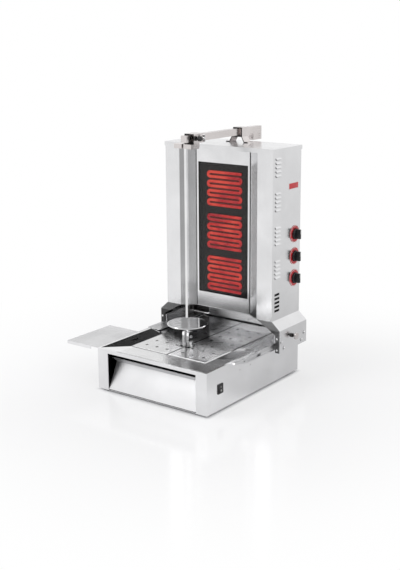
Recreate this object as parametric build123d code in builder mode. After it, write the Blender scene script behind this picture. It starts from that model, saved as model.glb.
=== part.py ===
from build123d import *
import os
from math import cos, hypot, radians, sin

# Electric doner kebab grill: a base cabinet with a drawer, drip trays and a driven skewer, and a
# heater tower that slides on rails towards the meat. Millimetres, +X to the right, +Y to the rear,
# +Z up. The origin is the middle of the base footprint, on the table.

os.makedirs("parts", exist_ok=True)

# Base cabinet
base_width = 500.0
base_depth = 600.0
rim_height = 162.0
foot_height = 6.0
foot_diameter = 32.0
foot_inset = 34.0
sheet = 2.0
edge_round = 2.0
front_post = 48.0
front_strip = 12.0
skirt_gap = 4.0
skirt_inset = 2.0

# Gutter round the drip trays
rim_width = 8.0
gutter_drop = 6.0
gutter_side = 72.0
gutter_front = 90.0
gutter_rear = 12.0
tray_ledge = 8.0
drain_length = 36.0
drain_width = 9.0
drain_from_front = 165.0

# Drip trays
tray_gap = 1.5
tray_seam = 3.0
tray_flange = 6.0
hole_diameter = 9.0
hole_pitch_x = 48.0
hole_pitch_y = 59.0
hole_from_seam = 36.0
hole_from_front = 44.0

# Drawer
drawer_side_gap = 2.0
drawer_setback = 1.0
drawer_front_height = 95.0
drawer_run = 47.0
lip_forward = 23.0
lip_rise = 20.0
pan_height = 75.0
pan_rear_gap = 120.0
runner_foot = 22.0
runner_leg = 30.0
runner_thickness = 3.0
runner_clearance = 1.0

# Skewer and its drive
skewer_from_front = 221.0
skewer_side = 10.0
skewer_clearance = 0.1
journal_diameter = 8.0
journal_clearance = 0.1
cross_hole = 4.0
cross_hole_drop = 36.0
disc_diameter = 152.0
disc_thickness = 5.0
disc_edge = 1.5
disc_lift = 32.0
collar_diameter = 30.0
collar_height = 20.0
shaft_diameter = 16.0
shaft_clearance = 0.05
bearing_hub = 34.0
bearing_flange = 46.0
bearing_flange_height = 5.0
bearing_stand = 1.0
running_gap = 0.3
notch_gap = 2.0
socket_diameter = 38.0
socket_ring_height = 10.0
cheek_height = 40.0
cheek_thickness = 10.0
cheek_width = 28.0
bolt_diameter = 5.0
bolt_head = 10.0
bolt_head_height = 4.0
motor_width = 76.0
motor_depth = 70.0
motor_height = 38.0
motor_corner = 10.0
motor_can_diameter = 34.0
motor_can_length = 84.0
bracket_gap = 4.0
channel_depth = 80.0
channel_height = 10.0
channel_sheet = 3.0

# Rocker switch on the right side
switch_from_front = 79.0
switch_z = 85.0
bezel_width = 31.0
bezel_height = 36.0
bezel_proud = 2.5
switch_depth = 24.0
rocker_width = 22.0
rocker_length = 26.0
rocker_hub = 9.0
rocker_proud = 3.0
rocker_dip = 2.0
rocker_plate = 3.5
rocker_tilt = 8.0
rocker_gap = 1.6
switch_floor = 8.0

# Side shelf and the channel that carries it
shelf_width = 155.0
shelf_depth = 240.0
shelf_edge = 10.0
shelf_edge_start = 36.0
hook_length = 118.0
hook_inset = 12.0
hook_drop = 30.0
hook_rise = 14.0
hook_gap = 0.5

# Slide rails on the sides of the base
rail_thickness = 12.0
rail_height = 21.0
rail_drop = 3.0
rail_from_front = 148.0
rail_rear_inset = 4.0
rail_tip = 84.0
rail_nose_drop = 5.0
rail_wall = 4.0
rail_lip = 5.0
rail_cap_ahead = 112.0
rail_cap_inside = 50.0
rail_cap_slant = 6.0
nose_hole = 6.0
nose_hole_inset = 63.0
nose_hole_drop = 9.0
clamp_strip = 4.0
clamp_strip_rise = 26.0
clamp_strip_inset = 4.0
tower_travel = 80.0
travel_clearance = 4.0
runner_gap = 0.4
index_hole = 5.0
index_pitch = 14.0
index_count = 7
index_inset = 9.0
index_ahead = 80.0
side_hole = 4.0
side_hole_level = 119.0
side_hole_from_front = 200.0
side_hole_pitch = 68.0

# Brackets between the runners and the tower
bracket_reach = 32.0
bracket_drop = 11.0
bracket_fold = 31.0
bracket_flange = 18.0
bracket_foot = 46.0
gusset_foot = 67.0
dome_diameter = 13.0
dome_height = 4.5
dome_edge = 2.0
dome_low_inset = 35.0
dome_low_rise = 13.0
dome_high_inset = 17.0
dome_high_rise = 39.0
front_dome_diameter = 8.0
front_dome_height = 2.5
front_dome_inset = 12.0
lock_from_front = 88.0
lock_rise = 51.0
lock_stem = 9.0
lock_nut = 16.0
lock_nut_height = 6.0
lock_reach = 18.0
lock_head = 26.0
lock_head_thickness = 6.0
lock_boss_length = 40.0
lock_boss_wall = 13.0

# Heater tower
tower_width = 494.0
tower_depth = 196.0
tower_overhang = 8.0
tower_lift = 82.0
cap_overhang = 2.0
cap_gap = 0.5
cap_rim = 14.0
reflector_outer = 180.0
reflector_gap = 4.0
heater_width = 246.0
heater_recess = 35.0
heater_flange = 41.0
glass_width = 230.0
glass_sill = 60.0
glass_header = 72.0
glass_overlap = 4.0
glass_thickness = 4.0

# Heating elements behind the glass
element_width = 162.0
element_rod = 10.0
element_pitch = 18.0
element_head = 32.0
element_foot = 10.0
element_apart = 31.0
element_gap = 0.4
terminal_rod = 6.0
terminal_length = 40.0
terminal_inset = 6.0
board_thickness = 22.0
board_margin = 8.0

# Louvres in the tower sides
louvre_width = 34.0
louvre_height = 9.0
louvre_pitch = 15.5
louvre_proud = 4.0
louvre_count = 5
louvre_group_pitch = 127.0
louvre_top_drop = 33.0
louvre_front = 19.0
back_slot_width = 90.0
back_slot_height = 6.0

# Controls on the right side of the tower
control_inset = 40.0
control_rise = 140.0
control_pitch = 85.5
control_names = ("upper", "middle", "lower")
dial_diameter = 66.0
dial_thickness = 1.5
knob_diameter = 42.0
knob_skirt = 8.0
knob_height = 25.0
knob_grip = 13.0
knob_grip_inset = 3.0
knob_taper = 2.0
knob_gap = 0.5
spindle_diameter = 6.0
spindle_hole = 8.0
spindle_length = 17.0
spindle_clearance = 0.08
regulator_side = 42.0
regulator_depth = 34.0
regulator_offset = 5.0

# Top arm, its support and the skewer holder
arm_side = 25.0
arm_front = 13.0
arm_overhang = 84.0
arm_leg_length = 57.0
arm_leg_drop = 27.0
notch_width = 2.5
notch_length = 30.0
notch_depth = 1.5
notch_pitch = 8.0
notch_count = 3
overall_height = 945.0
sleeve_wall = 4.0
sleeve_top_gap = 0.5
sleeve_side_gap = 0.4
sleeve_slack = 8.0
hat_inset = 48.0
hat_rise = 23.5
hat_length = 42.0
hat_foot = 100.0
hat_shoulder = 68.0
hat_top = 46.0
hat_sheet = 3.0
holder_setback = 14.0
holder_length = 60.0
fork_width = 88.0
fork_length = 40.0
fork_tongue_width = 40.0
fork_tongue_length = 34.0
fork_height = 16.5
fork_chamfer = 6.0
fork_gap = 2.0
clamp_from_front = 22.0
wing_from_front = 46.0
screw_stem = 6.0
screw_clearance = 0.08
clamp_stand = 5.0
clamp_diameter = 18.0
clamp_length = 13.0
wing_hub = 10.0
wing_span = 26.0
wing_thickness = 4.0
wing_reach = 13.0

# Cable gland at the rear
gland_x = 160.0
gland_z = 60.0
gland_thread = 18.0
gland_nut = 26.0
gland_nut_length = 9.0
gland_dome_length = 12.0
gland_bore = 9.0

# Places that follow from the sizes above
half_width = base_width / 2
half_depth = base_depth / 2
wall_top = rim_height - sheet
wall_height = wall_top - foot_height
wall_middle = (wall_top + foot_height) / 2
opening_width = base_width - 2 * front_post
opening_height = wall_height - front_strip
floor_top = foot_height + sheet
mouth_width = base_width - 2 * rim_width
mouth_depth = base_depth - 2 * rim_width
well_width = mouth_width - 2 * gutter_side
well_depth = mouth_depth - gutter_front - gutter_rear
well_y = (gutter_front - gutter_rear) / 2
well_front = well_y - well_depth / 2
skewer_y = -half_depth + skewer_from_front
drain_y = -half_depth + drain_from_front
switch_y = -half_depth + switch_from_front
pan_rear_y = half_depth - pan_rear_gap
tray_seat = rim_height - gutter_drop
tray_top = tray_seat + sheet
drawer_bottom = floor_top + runner_thickness
drawer_foot_y = -half_depth + drawer_setback
lean_ratio = drawer_run / drawer_front_height
sheet_run = sheet * hypot(1, lean_ratio)
drawer_half = opening_width / 2 - drawer_side_gap
runner_outer = drawer_half - drawer_side_gap
runner_inner = runner_outer - sheet
pan_half = runner_inner - runner_clearance
pan_top = drawer_bottom + pan_height
channel_bottom = pan_top + bracket_gap
channel_top = channel_bottom + channel_height
motor_top = channel_top + motor_height
flange_bottom = tray_top + bearing_stand
socket_bottom = flange_bottom + bearing_flange_height + running_gap
cheek_bottom = socket_bottom + socket_ring_height
disc_level = cheek_bottom + cheek_height + disc_lift
slot_width = skewer_side + 2 * skewer_clearance
drive_notch = bearing_flange + 2 * notch_gap
sleeve_top = overall_height
arm_top = sleeve_top - sleeve_wall - sleeve_top_gap
arm_bottom = arm_top - arm_side
arm_middle = (arm_top + arm_bottom) / 2
sleeve_bottom = arm_bottom - sleeve_wall
fork_bottom = sleeve_bottom - fork_height
skewer_top = fork_bottom - fork_gap
journal_top = sleeve_bottom - fork_gap
tower_half = tower_width / 2
tower_rear = half_depth + tower_overhang
tower_front = tower_rear - tower_depth
tower_bottom = rim_height + tower_lift
tower_top = sleeve_bottom - hat_rise
tower_middle_y = tower_front + tower_depth / 2
panel_top = tower_top - sheet
panel_height = panel_top - tower_bottom
panel_middle = (panel_top + tower_bottom) / 2
heater_y = tower_front + heater_recess
heater_half = heater_width / 2
reflector_inner = heater_half + reflector_gap
glass_bottom = tower_bottom + glass_sill
glass_top = tower_top - glass_header
glass_height = glass_top - glass_bottom
glass_middle = glass_bottom + glass_height / 2
glass_back = heater_y + sheet + glass_thickness
element_y = glass_back + element_gap + element_rod / 2
board_front = element_y + element_rod / 2 + element_gap
rail_outer = half_width + rail_thickness
rail_top = wall_top - rail_drop + sheet
rail_bottom = rail_top - rail_height
rail_front_y = -half_depth + rail_from_front
rail_rear_y = half_depth - rail_rear_inset
channel_front = rail_front_y + rail_tip
rail_cap_front_y = tower_front - rail_cap_ahead
index_front_y = tower_front - index_ahead
bracket_outer = half_width + bracket_reach
bracket_bottom = rail_bottom - bracket_drop
bracket_shoulder = tower_bottom - bracket_fold
gusset_inner = tower_half - gusset_foot
lock_y = tower_front + lock_from_front
lock_z = bracket_bottom + lock_rise
runner_bottom = rail_bottom + rail_lip + runner_gap
runner_top = rail_top - rail_lip - runner_gap
runner_middle = (runner_bottom + runner_top) / 2
runner_front_y = channel_front + tower_travel + travel_clearance
arm_axis_front = skewer_y - arm_front
arm_rear_y = tower_rear + arm_overhang
hat_y = tower_rear - hat_inset
sleeve_left = -arm_side / 2 - sleeve_side_gap
sleeve_right = arm_side / 2 + sleeve_slack
holder_front = skewer_y + holder_setback
control_y = tower_rear - control_inset
control_count = len(control_names)
control_levels = [
    tower_bottom + control_rise + n * control_pitch for n in reversed(range(control_count))
]
element_room = glass_height - element_head - element_foot - (control_count - 1) * element_apart
element_zone = element_room / control_count
element_levels = [
    glass_top - element_head - element_zone / 2 - n * (element_zone + element_apart)
    for n in range(control_count)
]
element_passes = 2 * int(((element_zone - element_rod) / element_pitch + 1) / 2)
louvre_run = (louvre_count - 1) * louvre_pitch + louvre_height
louvre_room = tower_top - louvre_top_drop - louvre_run - tower_bottom
louvre_groups = int(louvre_room / louvre_group_pitch) + 1

ON_TOP = (Align.CENTER, Align.CENTER, Align.MIN)


def level(z):
    """Horizontal sketch plane at height z."""
    return Plane.XY.offset(z)


def across(y):
    """Upright sketch plane at depth y, drawn in X and Z. It extrudes towards the front."""
    return Plane.XZ.offset(-y)


def beside(x):
    """Upright sketch plane at x, drawn in Y and Z. It extrudes to the right."""
    return Plane.YZ.offset(x)


def outline(plane, *points):
    """Closed outline with straight sides."""
    with BuildSketch(plane) as face:
        with BuildLine():
            Polyline(*points, close=True)
        make_face()
    return face.sketch


def bent_sheet(plane, thickness, side, *points):
    """Section of a bent sheet that follows the points on one side."""
    with BuildSketch(plane) as face:
        with BuildLine():
            Polyline(*points)
            offset(amount=thickness, side=side, kind=Kind.INTERSECTION)
        make_face()
    return face.sketch


def save(piece, name):
    """Names a finished piece and writes it."""
    piece.part.label = name
    export_step(piece.part, f"parts/{name}.step")


# Base cabinet: floor, front, sides, rear and feet
with BuildPart() as base_floor:
    with BuildSketch(level(foot_height)):
        Rectangle(base_width - 2 * sheet, base_depth - 2 * sheet)
    extrude(amount=sheet)
save(base_floor, "base_floor")

with BuildPart() as base_front:
    with BuildSketch(across(-half_depth + sheet)):
        with Locations((0, wall_middle)):
            Rectangle(base_width, wall_height)
        with Locations((0, foot_height)):
            Rectangle(opening_width, opening_height, align=(Align.CENTER, Align.MIN), mode=Mode.SUBTRACT)
    extrude(amount=sheet)
save(base_front, "base_front")

with BuildPart() as base_rear:
    with BuildSketch(across(half_depth)):
        with Locations((0, wall_middle)):
            Rectangle(base_width, wall_height)
        with Locations((gland_x, gland_z)):
            Circle(gland_thread / 2 + screw_clearance, mode=Mode.SUBTRACT)
    extrude(amount=sheet)
save(base_rear, "base_rear")

with BuildPart() as base_side_left:
    with BuildSketch(beside(-half_width)):
        with Locations((0, wall_middle)):
            Rectangle(base_depth - 2 * sheet, wall_height)
    extrude(amount=sheet)
save(base_side_left, "base_side_left")

with BuildPart() as base_side_right:
    with BuildSketch(beside(half_width - sheet)):
        with Locations((0, wall_middle)):
            Rectangle(base_depth - 2 * sheet, wall_height)
        with Locations((switch_y, switch_z)):
            Rectangle(bezel_width - 2 * sheet, bezel_height - 2 * sheet, mode=Mode.SUBTRACT)
        with Locations((-half_depth + side_hole_from_front, side_hole_level)):
            with GridLocations(side_hole_pitch, 0, 2, 1, align=(Align.MIN, Align.CENTER)):
                Circle(side_hole / 2, mode=Mode.SUBTRACT)
    extrude(amount=sheet)
save(base_side_right, "base_side_right")

with BuildPart() as feet:
    with GridLocations(base_width - 2 * foot_inset, base_depth - 2 * foot_inset, 2, 2):
        Cylinder(foot_diameter / 2, foot_height, align=ON_TOP)
    chamfer(feet.edges().group_by(Axis.Z)[0], edge_round)
save(feet, "feet")

# Gutter frame: flat rim, four slopes with mitred corners, and the ledge that carries the trays
with BuildPart() as pan_frame:
    with BuildSketch(level(wall_top)):
        Rectangle(base_width, base_depth)
    extrude(amount=sheet)
    with BuildSketch(level(wall_top)):
        Rectangle(mouth_width, mouth_depth)
    with BuildSketch(level(tray_seat - sheet)):
        with Locations((0, well_y)):
            Rectangle(well_width, well_depth)
    loft()
    with BuildSketch(level(rim_height)):
        Rectangle(mouth_width, mouth_depth)
    with BuildSketch(level(tray_seat)):
        with Locations((0, well_y)):
            Rectangle(well_width, well_depth)
    loft(mode=Mode.SUBTRACT)
    with BuildSketch(level(tray_seat - sheet)):
        with Locations((0, well_y)):
            Rectangle(well_width - 2 * tray_ledge, well_depth - 2 * tray_ledge)
    extrude(amount=sheet, mode=Mode.SUBTRACT)
    with BuildSketch(level(tray_seat - sheet)):
        with Locations((-(well_width + gutter_side) / 2, drain_y)):
            SlotOverall(drain_length, drain_width, rotation=90)
    extrude(amount=gutter_drop + sheet, mode=Mode.SUBTRACT)
save(pan_frame, "pan_frame")

# Splash skirt: a sheet that stands on the rear rim and closes the space under the tower
with BuildPart() as splash_skirt:
    skirt_section = bent_sheet(
        beside(-gusset_inner + skirt_inset),
        sheet,
        Side.RIGHT,
        (half_depth - rim_width, rim_height + sheet),
        (half_depth - sheet, rim_height + sheet),
        (half_depth - sheet, tower_bottom - skirt_gap),
    )
    extrude(skirt_section, amount=2 * (gusset_inner - skirt_inset))
save(splash_skirt, "splash_skirt")

# Two perforated trays that meet on a seam, notched round the drive
tray_width = well_width / 2 - tray_gap - tray_seam / 2
tray_depth = well_depth - 2 * tray_gap
hole_columns = int((tray_width - 2 * hole_from_seam) / hole_pitch_x) + 1
hole_rows = int((tray_depth - 2 * hole_from_front) / hole_pitch_y) + 1
first_hole = (hole_from_seam, well_front + hole_from_front)
hole_middle = (
    first_hole[0] + (hole_columns - 1) * hole_pitch_x / 2,
    first_hole[1] + (hole_rows - 1) * hole_pitch_y / 2,
)
with BuildPart() as tray_right:
    with BuildSketch(level(tray_seat)):
        with Locations((tray_seam / 2, well_y)):
            Rectangle(tray_width, tray_depth, align=(Align.MIN, Align.CENTER))
        with Locations((0, skewer_y)):
            Rectangle(drive_notch, drive_notch, mode=Mode.SUBTRACT)
        with Locations(hole_middle):
            with GridLocations(hole_pitch_x, hole_pitch_y, hole_columns, hole_rows):
                Circle(hole_diameter / 2, mode=Mode.SUBTRACT)
    extrude(amount=sheet)
    with BuildSketch(level(tray_seat - tray_flange)):
        with Locations((tray_seam / 2, well_y)):
            Rectangle(sheet, tray_depth - 2 * tray_ledge, align=(Align.MIN, Align.CENTER))
        with Locations((0, skewer_y)):
            Rectangle(drive_notch, drive_notch, mode=Mode.SUBTRACT)
    extrude(amount=tray_flange)
save(tray_right, "tray_right")

with BuildPart() as tray_left:
    mirror(tray_right.part, about=Plane.YZ)
save(tray_left, "tray_left")

# Drawer: a pan with a leaning front sheet whose top edge is bent forward as a finger lip
front_top = (drawer_foot_y + drawer_run, drawer_bottom + drawer_front_height)
pan_foot_y = drawer_foot_y + sheet_run
runner_start = pan_foot_y + runner_leg * lean_ratio + runner_clearance
with BuildPart() as drawer_front:
    front_section = bent_sheet(
        beside(-drawer_half),
        sheet,
        Side.RIGHT,
        (drawer_foot_y, drawer_bottom),
        front_top,
        (front_top[0] - lip_forward, front_top[1] + lip_rise),
    )
    extrude(front_section, amount=2 * drawer_half)
save(drawer_front, "drawer_front")

with BuildPart() as drawer_pan:
    pan_section = outline(
        beside(-pan_half),
        (pan_foot_y, drawer_bottom),
        (pan_rear_y, drawer_bottom),
        (pan_rear_y, pan_top),
        (pan_foot_y + pan_height * lean_ratio, pan_top),
    )
    extrude(pan_section, amount=2 * pan_half)
    pan_hollow = outline(
        beside(-pan_half + sheet),
        (pan_foot_y + sheet * lean_ratio + sheet_run, drawer_bottom + sheet),
        (pan_rear_y - sheet, drawer_bottom + sheet),
        (pan_rear_y - sheet, pan_top),
        (pan_foot_y + pan_height * lean_ratio + sheet_run, pan_top),
    )
    extrude(pan_hollow, amount=2 * (pan_half - sheet), mode=Mode.SUBTRACT)
save(drawer_pan, "drawer_pan")

with BuildPart() as drawer_runners:
    runner_section = outline(
        across(half_depth - sheet),
        (runner_outer - runner_foot, floor_top),
        (runner_outer, floor_top),
        (runner_outer, floor_top + runner_leg),
        (runner_inner, floor_top + runner_leg),
        (runner_inner, drawer_bottom),
        (runner_outer - runner_foot, drawer_bottom),
    )
    extrude(runner_section, amount=half_depth - sheet - runner_start)
    mirror(about=Plane.YZ)
save(drawer_runners, "drawer_runners")

# Drive under the trays: cross channel, gear motor, bearing and shaft
with BuildPart() as motor_bracket:
    channel_section = bent_sheet(
        beside(-half_width + sheet),
        channel_sheet,
        Side.RIGHT,
        (skewer_y - channel_depth / 2, channel_bottom),
        (skewer_y - channel_depth / 2, channel_top),
        (skewer_y + channel_depth / 2, channel_top),
        (skewer_y + channel_depth / 2, channel_bottom),
    )
    extrude(channel_section, amount=base_width - 2 * sheet)
save(motor_bracket, "motor_bracket")

with BuildPart() as gear_motor:
    with BuildSketch(level(channel_top)):
        with Locations((0, skewer_y)):
            RectangleRounded(motor_width, motor_depth, motor_corner)
    extrude(amount=motor_height)
    with BuildSketch(beside(motor_width / 2)):
        with Locations((skewer_y, channel_top + motor_height / 2)):
            Circle(motor_can_diameter / 2)
    extrude(amount=motor_can_length)
    with BuildSketch(level(channel_top + motor_height / 2)):
        with Locations((0, skewer_y)):
            Circle(shaft_diameter / 2 + shaft_clearance)
    extrude(amount=motor_height / 2, mode=Mode.SUBTRACT)
save(gear_motor, "gear_motor")

with BuildPart() as shaft_bearing:
    with BuildSketch(level(motor_top)):
        with Locations((0, skewer_y)):
            Circle(bearing_hub / 2)
    extrude(amount=flange_bottom - motor_top)
    with BuildSketch(level(flange_bottom)):
        with Locations((0, skewer_y)):
            Circle(bearing_flange / 2)
    extrude(amount=bearing_flange_height)
    with BuildSketch(level(motor_top)):
        with Locations((0, skewer_y)):
            Circle(shaft_diameter / 2 + shaft_clearance)
    extrude(amount=flange_bottom + bearing_flange_height - motor_top, mode=Mode.SUBTRACT)
save(shaft_bearing, "shaft_bearing")

with BuildPart() as drive_shaft:
    with BuildSketch(level(channel_top + motor_height / 2)):
        with Locations((0, skewer_y)):
            Circle(shaft_diameter / 2)
    extrude(amount=cheek_bottom - channel_top - motor_height / 2)
save(drive_shaft, "drive_shaft")

# Drive socket: a ring on the shaft with two cheeks that take the skewer between them
cheek_x = slot_width / 2 + cheek_thickness / 2
bolt_level = cheek_bottom + cheek_height / 2
with BuildPart() as drive_socket:
    with BuildSketch(level(socket_bottom)):
        with Locations((0, skewer_y)):
            Circle(socket_diameter / 2)
            Circle(shaft_diameter / 2 + shaft_clearance, mode=Mode.SUBTRACT)
    extrude(amount=socket_ring_height)
    with BuildSketch(level(cheek_bottom)):
        with Locations((0, skewer_y)):
            with GridLocations(2 * cheek_x, 0, 2, 1):
                Rectangle(cheek_thickness, cheek_width)
    extrude(amount=cheek_height)
    fillet(drive_socket.edges().filter_by(Axis.X).group_by(Axis.Z)[-1], cheek_thickness / 2)
    with BuildSketch(beside(-socket_diameter / 2)):
        with Locations((skewer_y, bolt_level)):
            Circle(bolt_diameter / 2 + skewer_clearance)
    extrude(amount=socket_diameter, mode=Mode.SUBTRACT)
save(drive_socket, "drive_socket")

with BuildPart() as socket_bolt:
    cheek_outer = slot_width / 2 + cheek_thickness
    with BuildSketch(beside(-cheek_outer)):
        with Locations((skewer_y, bolt_level)):
            Circle(bolt_diameter / 2)
    extrude(amount=2 * cheek_outer)
    with BuildSketch(beside(cheek_outer)):
        with Locations((skewer_y, bolt_level)):
            RegularPolygon(bolt_head / 2, 6)
    extrude(amount=bolt_head_height)
    mirror(about=Plane.YZ)
save(socket_bolt, "socket_bolt")

# Skewer: a square bar with a round journal on top and a cross hole below it
with BuildPart() as skewer:
    with BuildSketch(level(cheek_bottom)):
        with Locations((0, skewer_y)):
            Rectangle(skewer_side, skewer_side)
    extrude(amount=skewer_top - cheek_bottom)
    with BuildSketch(level(skewer_top)):
        with Locations((0, skewer_y)):
            Circle(journal_diameter / 2)
    extrude(amount=journal_top - skewer_top)
    with BuildSketch(beside(-skewer_side)):
        with Locations((skewer_y, skewer_top - cross_hole_drop)):
            Circle(cross_hole / 2)
        with Locations((skewer_y, bolt_level)):
            Circle(bolt_diameter / 2 + skewer_clearance)
    extrude(amount=2 * skewer_side, mode=Mode.SUBTRACT)
save(skewer, "skewer")

with BuildPart() as meat_disc:
    with BuildSketch(level(disc_level - disc_thickness)):
        with Locations((0, skewer_y)):
            Circle(disc_diameter / 2)
            Rectangle(slot_width, slot_width, mode=Mode.SUBTRACT)
    extrude(amount=disc_thickness)
    disc_rims = meat_disc.edges().filter_by(GeomType.CIRCLE)
    chamfer(disc_rims, disc_edge)
save(meat_disc, "meat_disc")

with BuildPart() as disc_collar:
    with BuildSketch(level(disc_level - disc_thickness - collar_height)):
        with Locations((0, skewer_y)):
            Circle(collar_diameter / 2)
            Rectangle(slot_width, slot_width, mode=Mode.SUBTRACT)
    extrude(amount=collar_height)
    chamfer(disc_collar.edges().filter_by(GeomType.CIRCLE).group_by(Axis.Z)[0], edge_round)
save(disc_collar, "disc_collar")

# Rocker switch: bezel and body through the side, and a rocker that rests tilted to one end
switch_inner = half_width + bezel_proud - switch_depth
rocker_pivot = switch_inner + switch_floor + rocker_hub + running_gap
with BuildPart() as switch_housing:
    with BuildSketch(beside(half_width)):
        with Locations((switch_y, switch_z)):
            RectangleRounded(bezel_width, bezel_height, edge_round)
    extrude(amount=bezel_proud)
    with BuildSketch(beside(switch_inner)):
        with Locations((switch_y, switch_z)):
            Rectangle(bezel_width - 2 * sheet, bezel_height - 2 * sheet)
    extrude(amount=half_width - switch_inner)
    with BuildSketch(beside(switch_inner + switch_floor)):
        with Locations((switch_y, switch_z)):
            Rectangle(rocker_width + 2 * running_gap, rocker_length + 2 * rocker_gap)
    extrude(amount=switch_depth - switch_floor, mode=Mode.SUBTRACT)
save(switch_housing, "switch_housing")

rocker_face = half_width + bezel_proud + rocker_proud - rocker_pivot
rocker_plane = Plane(
    origin=(rocker_pivot, switch_y + rocker_width / 2, switch_z),
    x_dir=(cos(radians(rocker_tilt)), 0, sin(radians(rocker_tilt))),
    z_dir=(0, -1, 0),
)
with BuildPart() as switch_rocker:
    with BuildSketch(rocker_plane):
        Circle(rocker_hub)
        with BuildLine():
            Polyline(
                (0, -rocker_hub),
                (rocker_face - rocker_plate, -rocker_length / 2),
                (rocker_face, -rocker_length / 2),
                (rocker_face - rocker_dip, 0),
                (rocker_face, rocker_length / 2),
                (rocker_face - rocker_plate, rocker_length / 2),
                (0, rocker_hub),
                close=True,
            )
        make_face()
    extrude(amount=rocker_width)
save(switch_rocker, "switch_rocker")

# Side shelf on the left, whose inner flange drops into a channel on the base side
shelf_inner = -half_width - sheet - hook_gap
hook_front = -half_depth + hook_inset
shelf_flange_bottom = wall_top - hook_drop
with BuildPart() as shelf_hook:
    hook_section = bent_sheet(
        across(hook_front + hook_length),
        sheet,
        Side.RIGHT,
        (-half_width, wall_top - sheet),
        (-half_width, shelf_flange_bottom - sheet - hook_gap),
        (-half_width - 3 * sheet - 2 * hook_gap, shelf_flange_bottom - sheet - hook_gap),
        (-half_width - 3 * sheet - 2 * hook_gap, shelf_flange_bottom + hook_rise),
    )
    extrude(hook_section, amount=hook_length)
save(shelf_hook, "shelf_hook")

with BuildPart() as side_shelf:
    with BuildSketch(level(wall_top)):
        with Locations((-half_width, -half_depth)):
            Rectangle(shelf_width, shelf_depth, align=(Align.MAX, Align.MIN))
    extrude(amount=sheet)
    with BuildSketch(level(wall_top)):
        with Locations((-half_width, -half_depth)):
            Rectangle(shelf_width, shelf_depth, align=(Align.MAX, Align.MIN))
        with Locations((-half_width, -half_depth + sheet)):
            Rectangle(
                shelf_width - sheet,
                shelf_depth - 2 * sheet,
                align=(Align.MAX, Align.MIN),
                mode=Mode.SUBTRACT,
            )
        with Locations((-half_width, -half_depth)):
            Rectangle(
                shelf_edge_start, shelf_depth, align=(Align.MAX, Align.MIN), mode=Mode.SUBTRACT
            )
    extrude(amount=-shelf_edge)
    with BuildSketch(level(shelf_flange_bottom)):
        with Locations((shelf_inner, hook_front + sheet)):
            Rectangle(sheet, hook_length - 2 * sheet, align=(Align.MAX, Align.MIN))
    extrude(amount=hook_drop)
save(side_shelf, "side_shelf")

# Slide rails: an outward channel with a tapered front end, a flange that lies on the rim, and an
# upright strip that the lock screw bears on
with BuildPart() as rail_right:
    rail_side = outline(
        beside(half_width),
        (rail_front_y, rail_top - rail_nose_drop),
        (rail_front_y + rail_lip, rail_top),
        (rail_rear_y, rail_top),
        (rail_rear_y, rail_bottom),
        (channel_front, rail_bottom),
    )
    extrude(rail_side, amount=rail_thickness)
    with BuildSketch(beside(half_width + rail_wall)):
        with Locations((rail_rear_y, (rail_top + rail_bottom) / 2)):
            Rectangle(
                rail_rear_y - channel_front,
                rail_height - 2 * rail_lip,
                align=(Align.MAX, Align.CENTER),
            )
    extrude(amount=rail_thickness - rail_wall, mode=Mode.SUBTRACT)
    with BuildSketch(beside(half_width)):
        with Locations((rail_front_y + nose_hole_inset, rail_top - nose_hole_drop)):
            Circle(nose_hole / 2)
    extrude(amount=rail_thickness, mode=Mode.SUBTRACT)
    rail_cap = outline(
        level(rim_height),
        (rail_outer, rail_cap_front_y + rail_cap_slant),
        (half_width - rail_cap_inside, rail_cap_front_y),
        (half_width - rail_cap_inside, rail_rear_y),
        (rail_outer, rail_rear_y),
    )
    extrude(rail_cap, amount=sheet)
    with BuildSketch(level(rail_top)):
        with Locations((half_width, rail_rear_y)):
            Rectangle(
                rail_thickness,
                rail_rear_y - rail_cap_front_y - rail_cap_slant,
                align=(Align.MIN, Align.MAX),
            )
    extrude(amount=rim_height - rail_top)
    with BuildSketch(level(rim_height + sheet)):
        with Locations((rail_outer, rail_rear_y)):
            Rectangle(
                clamp_strip,
                rail_rear_y - tower_front - clamp_strip_inset,
                align=(Align.MAX, Align.MAX),
            )
    extrude(amount=clamp_strip_rise)
    with BuildSketch(level(rim_height)):
        with Locations((half_width - index_inset, index_front_y)):
            with GridLocations(0, index_pitch, 1, index_count, align=(Align.CENTER, Align.MIN)):
                Circle(index_hole / 2)
    extrude(amount=sheet, mode=Mode.SUBTRACT)
save(rail_right, "rail_right")

with BuildPart() as rail_left:
    mirror(rail_right.part, about=Plane.YZ)
save(rail_left, "rail_left")

# Runners in the rails, with the bar that carries the bracket and the boss for the lock screw,
# which only the right side has
with BuildPart() as runner_right:
    with BuildSketch(beside(half_width + rail_wall + runner_gap)):
        with Locations((runner_front_y, runner_middle)):
            Rectangle(
                tower_rear - sheet - runner_front_y,
                runner_top - runner_bottom,
                align=(Align.MIN, Align.CENTER),
            )
    extrude(amount=rail_thickness - rail_wall)
    with BuildSketch(beside(rail_outer + runner_gap)):
        with Locations((tower_middle_y, runner_middle)):
            Rectangle(tower_depth - 2 * sheet, runner_top - runner_bottom)
        with Locations((lock_y, runner_bottom)):
            Rectangle(
                lock_boss_length,
                lock_z + lock_boss_wall - runner_bottom,
                align=(Align.CENTER, Align.MIN),
            )
    extrude(amount=bracket_outer - sheet - rail_outer - runner_gap)
    with BuildSketch(beside(rail_outer + runner_gap)):
        with Locations((lock_y, lock_z)):
            Circle(lock_stem / 2 + screw_clearance)
    extrude(amount=bracket_reach, mode=Mode.SUBTRACT)
save(runner_right, "runner_right")

with BuildPart() as runner_left:
    mirror(runner_right.part, about=Plane.YZ)
    with BuildSketch(beside(-rail_outer - runner_gap)):
        with Locations((lock_y, lock_z)):
            Circle(lock_stem / 2 + screw_clearance)
    extrude(amount=rail_outer + runner_gap + sheet - bracket_outer)
save(runner_left, "runner_left")

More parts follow.
